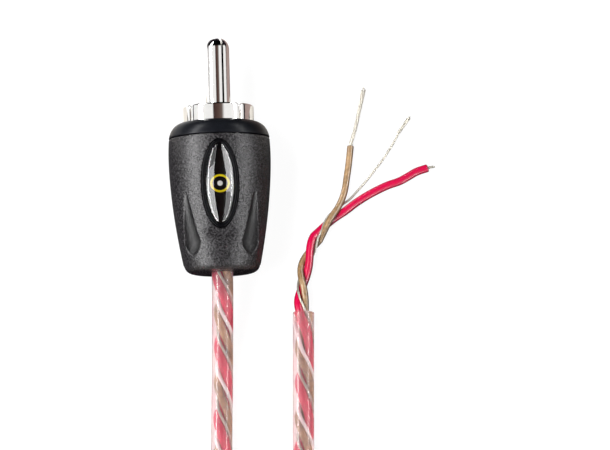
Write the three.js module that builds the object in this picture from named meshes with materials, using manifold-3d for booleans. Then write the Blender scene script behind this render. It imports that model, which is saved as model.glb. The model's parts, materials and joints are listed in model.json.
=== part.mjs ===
// A phono (coaxial) audio lead: a moulded plug on one end, a coiled clear-jacketed lead, and a
// stripped far end with a red core, a brown core and a bare drain wire.
// Millimetres, +Z up, lying on z = 0. The plug points along +Y with its badge up.
import * as THREE from 'three';
import { mergeVertices } from 'three/addons/utils/BufferGeometryUtils.js';
import Module from 'manifold-3d';

const wasm = await Module();
wasm.setup();

// Clearances between pieces
const SEAM = 0.1; // where two outer pieces show a parting line
const FIT = 0.15; // between pieces that seat in each other inside the plug
const FACE = 0.3; // between the end faces of cable stretches
const OVERSHOOT = 1; // how far a cutter runs past the face it opens

// Boot: distances along the plug are taken from its tail face
const BOOT_LENGTH = 17.65;
const BOOT_TAIL_RADIUS = 4.85;
const BOOT_WAIST_RADIUS = 6.71;
const WAIST_TO_FRONT = 2.45;
const BARREL_POWER = 1.77;
const BARREL_TUCK = 0.1; // radius lost from the waist to the front edge
const TAIL_FILLET = 1.1;
const BARREL_STEPS = 10;
const FILLET_STEPS = 4;
const ROUND_SEGMENTS = 60;
const INNER_SEGMENTS = 32;

// Front cap
const CAP_LENGTH = 2.05;
const CAP_MID_RADIUS = 6.3;
const CAP_MID_SHARE = 0.84;
const CAP_FACE_RADIUS = 5.0;
const CAP_STEPS = 7;

// Ground collar
const COLLAR_RADIUS = 4.63;
const COLLAR_WALL = 0.45;
const COLLAR_STAND = 2.2; // past the cap's face
const COLLAR_DEPTH = 7.3; // hidden behind the cap's face
const COLLAR_RIM_ROUND = 0.15;
const SLOT_COUNT = 4;
const SLOT_WIDTH = 0.27;
const SLOT_LENGTH = 5.2;
const SLOT_FLARE = 0.35;
const SLOT_TURN = 38; // degrees from the badge
const SLOT_SEGMENTS = 4;

// Ground lug, part of the collar's pressing
const LUG_WIDTH = 1.6;
const LUG_THICKNESS = 0.4;
const LUG_REACH = 2.5; // its long run's distance from the axis
const LUG_STEP_BACK = 0.75; // behind the collar's rear edge
const CRIMP_WALL = 0.4;
const CRIMP_LENGTH = 1.8;

// Centre pin
const PIN_RADIUS = 1.6;
const PIN_STAND = 9.05; // past the collar's rim
const PIN_NOSE = 1.45;
const PIN_NOSE_FLAT = 0.3;
const PIN_NOSE_STEPS = 6;
const PIN_SLIT = 0.28;
const PIN_SLIT_LENGTH = 12.5;
const PIN_SLIT_TURN = 26;
const PIN_SHANK_RADIUS = 1.1;
const PIN_CUP_RADIUS = 0.65;
const PIN_CUP_DEPTH = 1.8;
const PIN_TAIL = 2.4; // behind the insulator
const PIN_SEAT = 0.6; // depth of the shoulder's seat in the insulator's face
const PIN_SEGMENTS = 36;

// Insulator between pin and collar
const INSULATOR_LENGTH = 3.3;
const SOCKET_DEPTH = 6.5; // from the collar's rim to the insulator's face

// Badge: an oval bezel, a dark plate and a clear dome
const BADGE_TO_FRONT = 0.8; // from the bezel to the boot's front edge
const BADGE_HALF_WIDTH = 2.46;
const BADGE_HALF_LENGTH = 5.8;
const BADGE_SLOPE = 4.24; // degrees, as the barrel rises there
const BADGE_SUNK = 0.303; // bezel's top below the barrel's crown
const BADGE_DEPTH = 1.0;
const BEZEL_WIDTH = 0.5;
const BEZEL_ROUND = 0.18;
const PLATE_THICKNESS = 0.35;
const DOME_EDGE = 0.4;
const DOME_RISE = 0.5;
const OVAL_SEGMENTS = 36;
const DOME_STEPS = 5;

// Finger grooves round the boot's tail half
const GROOVE_TURNS = [45, 135, 225, 315];
const GROOVE_FROM = 1.9;
const GROOVE_TO = 11.6;
const GROOVE_DEEPEST = 3.8;
const GROOVE_RADIUS = 2.3;
const GROOVE_DEPTH = 1.0;
const GROOVE_STEPS = 12;
const GROOVE_BLUNT = 0.8;
const GROOVE_DRAWN = 1.9;
const GROOVE_SEGMENTS = 28;

// Inner sleeve round the soldered joints
const SLEEVE_RADIUS = 3.75;
const SLEEVE_WALL = 0.6;
const SLEEVE_FROM = 2.6;
const SLEEVE_GAP = 1.25; // ahead of the sleeve, where the lug steps in

// Cable
const JACKET_RADIUS = 1.4;
const JACKET_IN_PLUG = 5.6;
const RED_RADIUS = 0.54;
const BROWN_RADIUS = 0.435;
const DRAIN_RADIUS = 0.15;
const STRAND_RADIUS = 0.22;
const CORE_GAP = 0.1;
const CORD_SIDES = 8;

// Soldered joints
const SOLDER_DROP = 0.55;
const SOLDER_STEPS = 6;
const SOLDER_STRETCH = [1.2, 1.5, 1.3]; // of the drop on the lug
const LUG_JOINT_AHEAD = 1; // of the middle between jacket and lug step
const WIRE_SIDES = 8;

// Lay of the two cores round each other, left-handed
const LAY_LENGTH = 9.6;
const LAY_START = 160; // degrees, the red core's place at the jacket's mouth
const TWIST_STEP = 0.8;

// Coil of the length that is put away
const COIL_X = 4.7;
const COIL_Y = -69.2;
const COIL_MEAN_RADIUS = 15.26;
const COIL_HALF_SPAN = 6.3; // from the middle turn to the outer one, centre to centre
const COIL_LAYERS = 2;
const COIL_ROUND = 1.2;
const COIL_SEGMENTS = 44;
const COIL_ROUND_STEPS = 2;

// Tie round the coil
const TIE_WIDTH = 3.6;
const TIE_THICKNESS = 0.5;
const TIE_TURN = 270; // degrees round the coil from +X
const TIE_ROUND = 1.0;

// How the plug lies: on its barrel, pin end a little up
const PLUG_TILT = 3;

const rad = THREE.MathUtils.degToRad;

const finishes = {
  nickel: new THREE.MeshStandardMaterial({ color: 0xd8d6d2, roughness: 0.12, metalness: 1 }),
  grained: new THREE.MeshStandardMaterial({ color: 0x454346, roughness: 0.62, metalness: 0 }),
  smooth: new THREE.MeshStandardMaterial({ color: 0x1e2026, roughness: 0.35, metalness: 0 }),
  gloss: new THREE.MeshStandardMaterial({ color: 0x050506, roughness: 0.08, metalness: 0 }),
  resin: new THREE.MeshStandardMaterial({ color: 0x24262c, roughness: 0.03, metalness: 0 }),
  insulator: new THREE.MeshStandardMaterial({ color: 0xece8de, roughness: 0.5, metalness: 0 }),
  sleeve: new THREE.MeshStandardMaterial({ color: 0x9a9a94, roughness: 0.6, metalness: 0 }),
  solder: new THREE.MeshStandardMaterial({ color: 0xb9bcc0, roughness: 0.3, metalness: 1 }),
  jacket: new THREE.MeshStandardMaterial({ color: 0xf0b4b8, roughness: 0.2, metalness: 0 }),
  red: new THREE.MeshStandardMaterial({ color: 0xe11450, roughness: 0.35, metalness: 0 }),
  brown: new THREE.MeshStandardMaterial({ color: 0xa98a66, roughness: 0.4, metalness: 0 }),
  copper: new THREE.MeshStandardMaterial({ color: 0xd9cdb8, roughness: 0.3, metalness: 1 }),
  tie: new THREE.MeshStandardMaterial({ color: 0x161618, roughness: 0.8, metalness: 0 }),
};

// Geometry to solid and back

function toSolid(geometry) {
  const bare = geometry.index ? geometry.toNonIndexed() : geometry.clone();
  bare.deleteAttribute('normal');
  bare.deleteAttribute('uv');
  const merged = mergeVertices(bare, 1e-5);
  const corners = merged.index.array;
  const kept = [];
  for (let i = 0; i < corners.length; i += 3) {
    const [a, b, c] = [corners[i], corners[i + 1], corners[i + 2]];
    if (a !== b && b !== c && c !== a) kept.push(a, b, c);
  }
  return new wasm.Manifold(new wasm.Mesh({
    numProp: 3,
    vertProperties: Float32Array.from(merged.attributes.position.array),
    triVerts: Uint32Array.from(kept),
  }));
}

function toGeometry(solid) {
  const mesh = solid.getMesh();
  const geometry = new THREE.BufferGeometry();
  geometry.setAttribute('position', new THREE.BufferAttribute(mesh.vertProperties, 3));
  geometry.setIndex(new THREE.BufferAttribute(mesh.triVerts, 1));
  geometry.computeVertexNormals();
  return geometry;
}

function mesh(name, shape, material) {
  const geometry = shape.getMesh ? toGeometry(shape) : shape;
  const piece = new THREE.Mesh(geometry, material);
  piece.name = name;
  return piece;
}

// A closed outline of [radius, distance along] points, turned round the Y axis
function turned(outline, segments = ROUND_SEGMENTS) {
  const points = outline.map(([radius, along]) => new THREE.Vector2(radius, along));
  if (THREE.ShapeUtils.area(points) < 0) points.reverse();
  points.push(points[0].clone());
  return toSolid(new THREE.LatheGeometry(points, segments));
}

// Points of a circular arc in the radius/along plane, angles in degrees
function arc(radius, along, size, from, to, steps) {
  return Array.from({ length: steps + 1 }, (_, i) => {
    const angle = rad(from + (to - from) * i / steps);
    return [radius + size * Math.cos(angle), along + size * Math.sin(angle)];
  });
}

// A tube along a smooth curve through the points, ends cut square
function tube(points, radius, steps, sides = CORD_SIDES) {
  const section = new THREE.Shape();
  for (let i = 0; i < sides; i += 1) {
    const angle = (i + 0.5) * 2 * Math.PI / sides;
    const corner = [radius * Math.cos(angle), radius * Math.sin(angle)];
    if (i === 0) section.moveTo(...corner);
    else section.lineTo(...corner);
  }
  const path = new THREE.CatmullRomCurve3(points.map((p) => new THREE.Vector3(...p)), false, 'centripetal');
  const geometry = new THREE.ExtrudeGeometry(section, { steps, extrudePath: path });
  return toSolid(geometry);
}

function box(width, length, height, x, y, z) {
  return toSolid(new THREE.BoxGeometry(width, length, height).translate(x, y, z));
}

function oval(halfWidth, halfLength) {
  return new THREE.Shape(new THREE.EllipseCurve(0, 0, halfWidth, halfLength).getPoints(OVAL_SEGMENTS).slice(0, -1));
}

// Boot

const waistAt = BOOT_LENGTH - WAIST_TO_FRONT;
const badgeAt = BOOT_LENGTH - BADGE_TO_FRONT - BADGE_HALF_LENGTH;
const capBack = BOOT_LENGTH + SEAM;
const capFace = capBack + CAP_LENGTH;
const collarRim = capFace + COLLAR_STAND;
const collarBack = capFace - COLLAR_DEPTH;
const insulatorFace = collarRim - SOCKET_DEPTH;
const insulatorBack = insulatorFace - INSULATOR_LENGTH;
const sleeveTo = collarBack - SLEEVE_GAP;

// The barrel swells from the tail to its widest place by a power of the distance left to it
function barrelRadius(along) {
  const left = Math.max(0, (waistAt - along) / waistAt);
  const past = Math.max(0, along - waistAt) / (BOOT_LENGTH - waistAt);
  const swell = (BOOT_WAIST_RADIUS - BOOT_TAIL_RADIUS) * left ** BARREL_POWER;
  return BOOT_WAIST_RADIUS - swell - BARREL_TUCK * past ** 2;
}

function barrelOutline() {
  const points = arc(barrelRadius(TAIL_FILLET) - TAIL_FILLET, TAIL_FILLET, TAIL_FILLET, -90, 0, FILLET_STEPS);
  for (let i = 1; i <= BARREL_STEPS; i += 1) {
    const along = TAIL_FILLET + (BOOT_LENGTH - TAIL_FILLET) * i / BARREL_STEPS;
    points.push([barrelRadius(along), along]);
  }
  return points;
}

function inBadgeFrame(solid) {
  return solid.rotate([BADGE_SLOPE, 0, 0]).translate([0, badgeAt, barrelRadius(badgeAt) - BADGE_SUNK]);
}

// Share of the full depth along a finger groove: blunt near the tail, drawn out to a point ahead
function grooveDepth(along) {
  if (along < GROOVE_DEEPEST) {
    const share = (along - GROOVE_FROM) / (GROOVE_DEEPEST - GROOVE_FROM);
    return Math.sin(share * Math.PI / 2) ** GROOVE_BLUNT;
  }
  return ((GROOVE_TO - along) / (GROOVE_TO - GROOVE_DEEPEST)) ** GROOVE_DRAWN;
}

// A turned teardrop laid along the barrel, sunk by the groove's depth
function grooveCutter(turn) {
  const clear = GROOVE_RADIUS - GROOVE_DEPTH;
  const length = GROOVE_TO - GROOVE_FROM;
  const outline = [[0, GROOVE_FROM]];
  for (let i = 0; i <= GROOVE_STEPS; i += 1) {
    const along = GROOVE_FROM + length * i / GROOVE_STEPS;
    outline.push([clear + GROOVE_DEPTH * grooveDepth(along), along]);
  }
  outline.push([0, GROOVE_TO]);
  const slope = Math.atan2(barrelRadius(GROOVE_TO) - barrelRadius(GROOVE_FROM), length);
  const lift = barrelRadius(GROOVE_DEEPEST) + clear;
  return turned(outline, GROOVE_SEGMENTS)
    .translate([0, -GROOVE_DEEPEST, 0])
    .rotate([slope * 180 / Math.PI, 0, 0])
    .translate([0, GROOVE_DEEPEST, lift])
    .rotate([0, turn, 0]);
}

function makeBoot() {
  const cable = JACKET_RADIUS + FIT;
  const sleeve = SLEEVE_RADIUS + FIT;
  const collar = COLLAR_RADIUS + FIT;
  let boot = turned([
    [cable, 0],
    ...barrelOutline(),
    [collar, BOOT_LENGTH],
    [collar, sleeveTo],
    [sleeve, sleeveTo],
    [sleeve, SLEEVE_FROM - FIT],
    [cable, SLEEVE_FROM - FIT],
  ]);
  for (const turn of GROOVE_TURNS) boot = boot.subtract(grooveCutter(turn));
  const pocket = new THREE.ExtrudeGeometry(
    oval(BADGE_HALF_WIDTH + SEAM, BADGE_HALF_LENGTH + SEAM),
    { depth: BADGE_DEPTH + SEAM + OVERSHOOT, bevelEnabled: false },
  ).translate(0, 0, -BADGE_DEPTH - SEAM);
  return boot.subtract(inBadgeFrame(toSolid(pocket)));
}

function makeCap() {
  const bore = COLLAR_RADIUS + SEAM;
  const start = new THREE.Vector2(barrelRadius(BOOT_LENGTH), capBack);
  const middle = new THREE.Vector2(CAP_MID_RADIUS, capBack + CAP_LENGTH * CAP_MID_SHARE);
  const end = new THREE.Vector2(CAP_FACE_RADIUS, capFace);
  const shoulder = new THREE.QuadraticBezierCurve(start, middle, end).getPoints(CAP_STEPS);
  return turned([[bore, capBack], ...shoulder.map((p) => [p.x, p.y]), [bore, capFace]]);
}

// Badge

function makeBezel() {
  const ring = oval(BADGE_HALF_WIDTH - BEZEL_ROUND, BADGE_HALF_LENGTH - BEZEL_ROUND);
  const inside = [BADGE_HALF_WIDTH - BEZEL_WIDTH + BEZEL_ROUND, BADGE_HALF_LENGTH - BEZEL_WIDTH + BEZEL_ROUND];
  ring.holes.push(new THREE.Path(oval(...inside).getPoints().reverse()));
  const straight = BADGE_DEPTH - 2 * BEZEL_ROUND;
  const geometry = new THREE.ExtrudeGeometry(ring, {
    depth: straight, bevelThickness: BEZEL_ROUND, bevelSize: BEZEL_ROUND, bevelSegments: 2,
  });
  return inBadgeFrame(toSolid(geometry.translate(0, 0, BEZEL_ROUND - BADGE_DEPTH)));
}

const windowHalfWidth = BADGE_HALF_WIDTH - BEZEL_WIDTH - SEAM;
const windowHalfLength = BADGE_HALF_LENGTH - BEZEL_WIDTH - SEAM;

function makePlate() {
  const geometry = new THREE.ExtrudeGeometry(
    oval(windowHalfWidth, windowHalfLength),
    { depth: PLATE_THICKNESS, bevelEnabled: false },
  );
  return inBadgeFrame(toSolid(geometry.translate(0, 0, -BADGE_DEPTH)));
}

// A unit dome stretched to the oval, standing on the plate
function makeDome() {
  const bottom = PLATE_THICKNESS + SEAM - BADGE_DEPTH;
  const shoulder = bottom + DOME_EDGE;
  const rise = DOME_RISE - shoulder;
  const crown = arc(0, 0, 1, 0, 90, DOME_STEPS).map(([radius, along]) => [radius, shoulder + along * rise]);
  crown[DOME_STEPS][0] = 0;
  const unit = turned([[0, bottom], [1, bottom], ...crown], OVAL_SEGMENTS);
  return inBadgeFrame(unit.rotate([90, 0, 0]).scale([windowHalfWidth, windowHalfLength, 1]));
}

// Metalwork

function slotCutter(turn) {
  const half = SLOT_WIDTH / 2;
  const shape = new THREE.Shape();
  shape.moveTo(-half, -SLOT_LENGTH);
  shape.lineTo(half, -SLOT_LENGTH);
  shape.lineTo(half, -SLOT_FLARE);
  shape.quadraticCurveTo(half, 0, half + SLOT_FLARE, 0);
  shape.lineTo(half + SLOT_FLARE, OVERSHOOT);
  shape.lineTo(-half - SLOT_FLARE, OVERSHOOT);
  shape.lineTo(-half - SLOT_FLARE, 0);
  shape.quadraticCurveTo(-half, 0, -half, -SLOT_FLARE);
  const geometry = new THREE.ExtrudeGeometry(shape, {
    depth: COLLAR_RADIUS, bevelEnabled: false, curveSegments: SLOT_SEGMENTS,
  });
  geometry.translate(0, collarRim, PIN_RADIUS);
  return toSolid(geometry).rotate([0, turn, 0]);
}

const crimpRadius = JACKET_RADIUS + FIT;
const crimpFrom = JACKET_IN_PLUG - CRIMP_LENGTH - LUG_THICKNESS;

// The lug's edge profile, bent in from the collar to the cable's crimp ring
function makeLug() {
  const outer = COLLAR_RADIUS;
  const ring = crimpRadius + CRIMP_WALL;
  const back = collarBack - LUG_STEP_BACK;
  const bend = crimpFrom + CRIMP_LENGTH;
  const shape = new THREE.Shape([
    [-outer, collarBack + LUG_THICKNESS],
    [-outer, back],
    [-LUG_REACH - LUG_THICKNESS, back],
    [-LUG_REACH - LUG_THICKNESS, bend + 2 * LUG_THICKNESS],
    [-ring, bend - LUG_THICKNESS],
    [-ring, crimpFrom],
    [-crimpRadius - SEAM, crimpFrom],
    [-crimpRadius - SEAM, bend],
    [-LUG_REACH, bend + 3 * LUG_THICKNESS],
    [-LUG_REACH, back + LUG_THICKNESS],
    [-outer + COLLAR_WALL, back + LUG_THICKNESS],
    [-outer + COLLAR_WALL, collarBack + LUG_THICKNESS],
  ].map(([x, y]) => new THREE.Vector2(x, y)));
  const geometry = new THREE.ExtrudeGeometry(shape, { depth: LUG_WIDTH, bevelEnabled: false });
  return toSolid(geometry.translate(0, 0, -LUG_WIDTH / 2));
}

function makeCollar() {
  const inner = COLLAR_RADIUS - COLLAR_WALL;
  const round = COLLAR_RIM_ROUND;
  let collar = turned([
    [inner, collarBack],
    [COLLAR_RADIUS, collarBack],
    [COLLAR_RADIUS, collarRim - round],
    [COLLAR_RADIUS - round, collarRim],
    [inner + round, collarRim],
    [inner, collarRim - round],
  ]);
  for (let i = 0; i < SLOT_COUNT; i += 1) {
    collar = collar.subtract(slotCutter(SLOT_TURN + 360 * i / SLOT_COUNT));
  }
  const ring = turned([
    [crimpRadius, crimpFrom],
    [crimpRadius + CRIMP_WALL, crimpFrom],
    [crimpRadius + CRIMP_WALL, crimpFrom + CRIMP_LENGTH],
    [crimpRadius, crimpFrom + CRIMP_LENGTH],
  ], PIN_SEGMENTS);
  const bore = turned([
    [0, crimpFrom - OVERSHOOT],
    [crimpRadius, crimpFrom - OVERSHOOT],
    [crimpRadius, crimpFrom + CRIMP_LENGTH + OVERSHOOT],
    [0, crimpFrom + CRIMP_LENGTH + OVERSHOOT],
  ], PIN_SEGMENTS);
  return collar.add(makeLug()).add(ring).subtract(bore);
}

const pinTip = collarRim + PIN_STAND;
const pinTail = insulatorBack - PIN_TAIL;
const pinShoulder = insulatorFace - PIN_SEAT + SEAM;

function makePin() {
  const nose = [];
  for (let i = 0; i <= PIN_NOSE_STEPS; i += 1) {
    const angle = Math.PI / 2 * i / PIN_NOSE_STEPS;
    const radius = PIN_NOSE_FLAT + (PIN_RADIUS - PIN_NOSE_FLAT) * Math.cos(angle);
    nose.push([radius, pinTip - PIN_NOSE + PIN_NOSE * Math.sin(angle)]);
  }
  const pin = turned([
    [0, pinTail + PIN_CUP_DEPTH],
    [PIN_CUP_RADIUS, pinTail + PIN_CUP_DEPTH],
    [PIN_CUP_RADIUS, pinTail],
    [PIN_SHANK_RADIUS, pinTail],
    [PIN_SHANK_RADIUS, pinShoulder],
    [PIN_RADIUS, pinShoulder],
    ...nose,
    [0, pinTip],
  ], PIN_SEGMENTS);
  const slit = box(PIN_SLIT, PIN_SLIT_LENGTH + OVERSHOOT, 4 * PIN_RADIUS,
    0, pinTip + (OVERSHOOT - PIN_SLIT_LENGTH) / 2, 0);
  return pin.subtract(slit.rotate([0, PIN_SLIT_TURN, 0]));
}

function makeInsulator() {
  const outer = COLLAR_RADIUS - COLLAR_WALL - FIT;
  const bore = PIN_SHANK_RADIUS + FIT;
  return turned([
    [bore, insulatorBack],
    [outer, insulatorBack],
    [outer, insulatorFace],
    [PIN_RADIUS + FIT, insulatorFace],
    [PIN_RADIUS + FIT, insulatorFace - PIN_SEAT],
    [bore, insulatorFace - PIN_SEAT],
  ], INNER_SEGMENTS);
}

function makeSleeve() {
  const inner = SLEEVE_RADIUS - SLEEVE_WALL;
  return turned([
    [inner, SLEEVE_FROM],
    [SLEEVE_RADIUS, SLEEVE_FROM],
    [SLEEVE_RADIUS, sleeveTo - FIT],
    [inner, sleeveTo - FIT],
  ], INNER_SEGMENTS);
}

// Joints inside the plug

function makePinSolder() {
  const top = pinTail + PIN_CUP_DEPTH - FIT;
  const radius = PIN_CUP_RADIUS - FIT;
  const drop = arc(0, pinTail - FIT, radius, -90, 0, SOLDER_STEPS);
  drop[0][0] = 0;
  return turned([...drop, [radius, top], [0, top]], INNER_SEGMENTS / 2);
}

const lugJoint = (sleeveTo + JACKET_IN_PLUG) / 2 + LUG_JOINT_AHEAD;
const solderReach = -LUG_REACH + SEAM;

function makeGroundSolder() {
  const ball = toSolid(new THREE.SphereGeometry(SOLDER_DROP, 2 * SOLDER_STEPS, SOLDER_STEPS));
  const reach = 4 * SOLDER_DROP;
  const half = box(reach, 2 * reach, reach, solderReach + reach / 2, lugJoint, 0);
  return ball.scale(SOLDER_STRETCH).translate([solderReach, lugJoint, 0]).intersect(half);
}

// Wires run between the jacket's end and their joint, with bends at shares of that way
const coreStart = JACKET_IN_PLUG + FACE;
const pinJoint = pinTail - PIN_CUP_RADIUS - FACE;
const jointEdge = lugJoint - SOLDER_STRETCH[1] * SOLDER_DROP - FIT;

function wireAlong(end, bends) {
  return bends.map(([x, share, z]) => [x, coreStart + (end - coreStart) * share, z]);
}

const wireToPin = wireAlong(pinJoint, [[0.6, 0, 0], [0.5, 0.34, 0], [0.1, 0.78, 0], [0, 1, 0]]);
const wireToLug = wireAlong(jointEdge, [[-0.5, 0, 0.2], [-0.72, 0.35, 0.2], [-1.5, 0.78, 0.1], [-1.7, 1, 0.1]]);
const drainToLug = wireAlong(jointEdge, [[0, 0, -0.8], [-0.5, 0.38, -0.9], [-1.6, 0.82, -0.75], [-1.9, 1, -0.6]]);

// The plug lies turned down about X, so that the barrel rests on z = 0

const plugPieces = [
  mesh('center_pin', makePin(), finishes.nickel),
  mesh('ground_collar', makeCollar(), finishes.nickel),
  mesh('pin_insulator', makeInsulator(), finishes.insulator),
  mesh('front_cap', makeCap(), finishes.smooth),
  mesh('boot_shell', makeBoot(), finishes.grained),
  mesh('badge_bezel', makeBezel(), finishes.gloss),
  mesh('badge_plate', makePlate(), finishes.gloss),
  mesh('badge_dome', makeDome(), finishes.resin),
  mesh('inner_sleeve', makeSleeve(), finishes.sleeve),
  mesh('pin_solder', makePinSolder(), finishes.solder),
  mesh('ground_solder', makeGroundSolder(), finishes.solder),
  mesh('red_wire_in_plug', tube(wireToPin, RED_RADIUS, WIRE_SIDES), finishes.red),
  mesh('brown_wire_in_plug', tube(wireToLug, BROWN_RADIUS, WIRE_SIDES), finishes.brown),
  mesh('drain_wire_in_plug', tube(drainToLug, DRAIN_RADIUS, WIRE_SIDES), finishes.copper),
];

const plug = new THREE.Group();
plug.add(...plugPieces);
plug.rotation.x = rad(PLUG_TILT);
plug.updateMatrixWorld(true);
const lying = new THREE.Box3().setFromObject(plug, true);
plug.position.set(0, -(lying.min.y + lying.max.y) / 2, -lying.min.z);
plug.updateMatrixWorld(true);

function onPlugAxis(along) {
  return plug.localToWorld(new THREE.Vector3(0, along, 0)).toArray();
}

// Lead from the plug's crimp, down onto the surface and towards the coil

const leadFromPlug = [
  onPlugAxis(JACKET_IN_PLUG),
  onPlugAxis(JACKET_IN_PLUG / 2),
  onPlugAxis(0),
  [-0.03, -18.0, 5.55],
  [-0.1, -20.6, 4.5],
  [-0.2, -23.4, 2.9],
  [-0.28, -26.4, 1.75],
  [-0.38, -29.5, 1.42],
  [-0.55, -34.0, 1.4],
  [-0.68, -38.5, 1.4],
  [-0.75, -41.5, 1.4],
  [-1.0, -43.7, 1.4],
  [-1.7, -45.8, 1.4],
];

// Lead from the coil up to the stripped end's mouth

const leadToBareEnd = [
  [10.9, -45.8, 1.4],
  [10.2, -43.7, 1.4],
  [9.98, -41.5, 1.4],
  [10.05, -38.5, 1.4],
  [10.2, -32.0, 1.4],
  [10.35, -26.0, 1.4],
  [10.51, -20.1, 1.4],
];

// Middle line of the two cores, from the jacket's mouth to where they part

const coreLine = [
  [10.51, -20.1, 1.4],
  [10.38, -18.4, 1.3],
  [10.52, -16.4, 1.15],
  [10.86, -14.1, 1.07],
  [11.46, -12.0, 1.07],
  [12.27, -10.4, 1.07],
  [13.45, -8.95, 1.07],
  [14.6, -7.6, 1.07],
];

const redTail = [
  [16.4, -6.55, 0.7],
  [17.8, -5.5, 0.58],
  [19.25, -4.6, 0.55],
  [20.7, -3.85, 0.55],
  [22.1, -3.24, 0.55],
  [23.6, -2.75, 0.55],
  [24.75, -2.15, 0.55],
  [25.9, -1.52, 0.55],
  [27.4, -1.05, 0.55],
];
const redTip = [[27.75, -0.96, 0.5], [28.0, -0.9, 0.47], [28.3, -0.83, 0.42]];

const brownTail = [
  [15.4, -6.2, 1.25],
  [16.05, -4.8, 0.8],
  [16.4, -3.6, 0.52],
  [16.65, -2.15, 0.45],
  [16.9, -0.7, 0.45],
  [17.1, 0.75, 0.45],
  [17.28, 2.2, 0.45],
];
const brownTip = [
  [17.36, 2.6, 0.4],
  [17.88, 4.26, 0.3],
  [18.28, 5.84, 0.25],
  [18.77, 7.87, 0.24],
  [19.24, 9.96, 0.24],
];

const drainTail = [
  [15.3, -6.35, 0.42],
  [16.0, -5.65, 0.38],
  [16.95, -4.97, 0.3],
  [18.12, -3.72, 0.2],
  [19.28, -2.45, 0.17],
  [20.32, -1.16, 0.17],
  [21.35, 0.11, 0.17],
  [22.24, 1.4, 0.17],
  [23.13, 2.82, 0.2],
  [23.7, 3.9, 0.25],
];
const drainTip = [[23.86, 4.14, 0.26], [24.48, 4.96, 0.26], [25.21, 5.96, 0.26]];

// Points of one core wound round the middle line, from the jacket's mouth on
function wound(reach, turn) {
  const line = new THREE.CatmullRomCurve3(coreLine.map((p) => new THREE.Vector3(...p)), false, 'centripetal');
  const length = line.getLength();
  const count = Math.round(length / TWIST_STEP);
  const up = new THREE.Vector3(0, 0, 1);
  const points = [];
  for (let i = 0; i <= count; i += 1) {
    const run = Math.max(FACE, length * i / count);
    const share = run / length;
    const side = line.getTangentAt(share).cross(up).normalize();
    const angle = rad(LAY_START + turn) + 2 * Math.PI * run / LAY_LENGTH;
    const offset = side.multiplyScalar(Math.cos(angle)).addScaledVector(up, Math.sin(angle));
    points.push(line.getPointAt(share).addScaledVector(offset, reach).toArray());
  }
  return points;
}

const corePair = RED_RADIUS + BROWN_RADIUS + CORE_GAP;
const redReach = corePair * BROWN_RADIUS / (RED_RADIUS + BROWN_RADIUS);
const brownReach = corePair - redReach;
const drainReach = RED_RADIUS + DRAIN_RADIUS + 2 * CORE_GAP;

const redPath = [...wound(redReach, 0), ...redTail];
const brownPath = [...wound(brownReach, 180), ...brownTail];
const drainPath = [...wound(drainReach, 270), ...drainTail];

// Coil and its tie

const coilTop = 2 * JACKET_RADIUS * COIL_LAYERS;
const coilOuter = COIL_MEAN_RADIUS + COIL_HALF_SPAN + JACKET_RADIUS;
const coilInner = COIL_MEAN_RADIUS - COIL_HALF_SPAN - JACKET_RADIUS;
const tiePlace = [COIL_MEAN_RADIUS * Math.cos(rad(TIE_TURN)), COIL_MEAN_RADIUS * Math.sin(rad(TIE_TURN))];

function tieOutline(grow) {
  const halfSpan = COIL_HALF_SPAN + JACKET_RADIUS + FACE + grow;
  const low = TIE_THICKNESS - grow;
  const high = coilTop + FIT + grow;
  const round = TIE_ROUND + grow;
  const shape = new THREE.Shape();
  shape.moveTo(-halfSpan + round, low);
  shape.lineTo(halfSpan - round, low);
  shape.quadraticCurveTo(halfSpan, low, halfSpan, low + round);
  shape.lineTo(halfSpan, high - round);
  shape.quadraticCurveTo(halfSpan, high, halfSpan - round, high);
  shape.lineTo(-halfSpan + round, high);
  shape.quadraticCurveTo(-halfSpan, high, -halfSpan, high - round);
  shape.lineTo(-halfSpan, low + round);
  shape.quadraticCurveTo(-halfSpan, low, -halfSpan + round, low);
  return shape;
}

// A strip standing across the coil's section at its place round the coil
function tieStrip(shape, width) {
  const geometry = new THREE.ExtrudeGeometry(shape, { depth: width, bevelEnabled: false, curveSegments: 4 });
  geometry.translate(0, 0, -width / 2);
  geometry.rotateX(Math.PI / 2);
  geometry.rotateZ(rad(TIE_TURN));
  return toSolid(geometry.translate(COIL_X + tiePlace[0], COIL_Y + tiePlace[1], 0));
}

function makeTie() {
  const inside = tieStrip(tieOutline(0), TIE_WIDTH + 2 * OVERSHOOT);
  return tieStrip(tieOutline(TIE_THICKNESS), TIE_WIDTH).subtract(inside);
}

// The coil's outer form, with the tie's seat cut where its turns lie over the strap
function makeCoil() {
  const round = COIL_ROUND;
  const ring = turned([
    ...arc(coilOuter - round, round, round, -90, 0, COIL_ROUND_STEPS),
    ...arc(coilOuter - round, coilTop - round, round, 0, 90, COIL_ROUND_STEPS),
    ...arc(coilInner + round, coilTop - round, round, 90, 180, COIL_ROUND_STEPS),
    ...arc(coilInner + round, round, round, 180, 270, COIL_ROUND_STEPS),
  ], COIL_SEGMENTS);
  const seatLength = 2 * (coilOuter - coilInner);
  const seat = new THREE.BoxGeometry(seatLength, TIE_WIDTH + 2 * FIT, 2 * (TIE_THICKNESS + FIT));
  seat.rotateZ(rad(TIE_TURN));
  seat.translate(COIL_X + tiePlace[0], COIL_Y + tiePlace[1], 0);
  return ring.rotate([90, 0, 0]).translate([COIL_X, COIL_Y, 0]).subtract(toSolid(seat));
}

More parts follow.
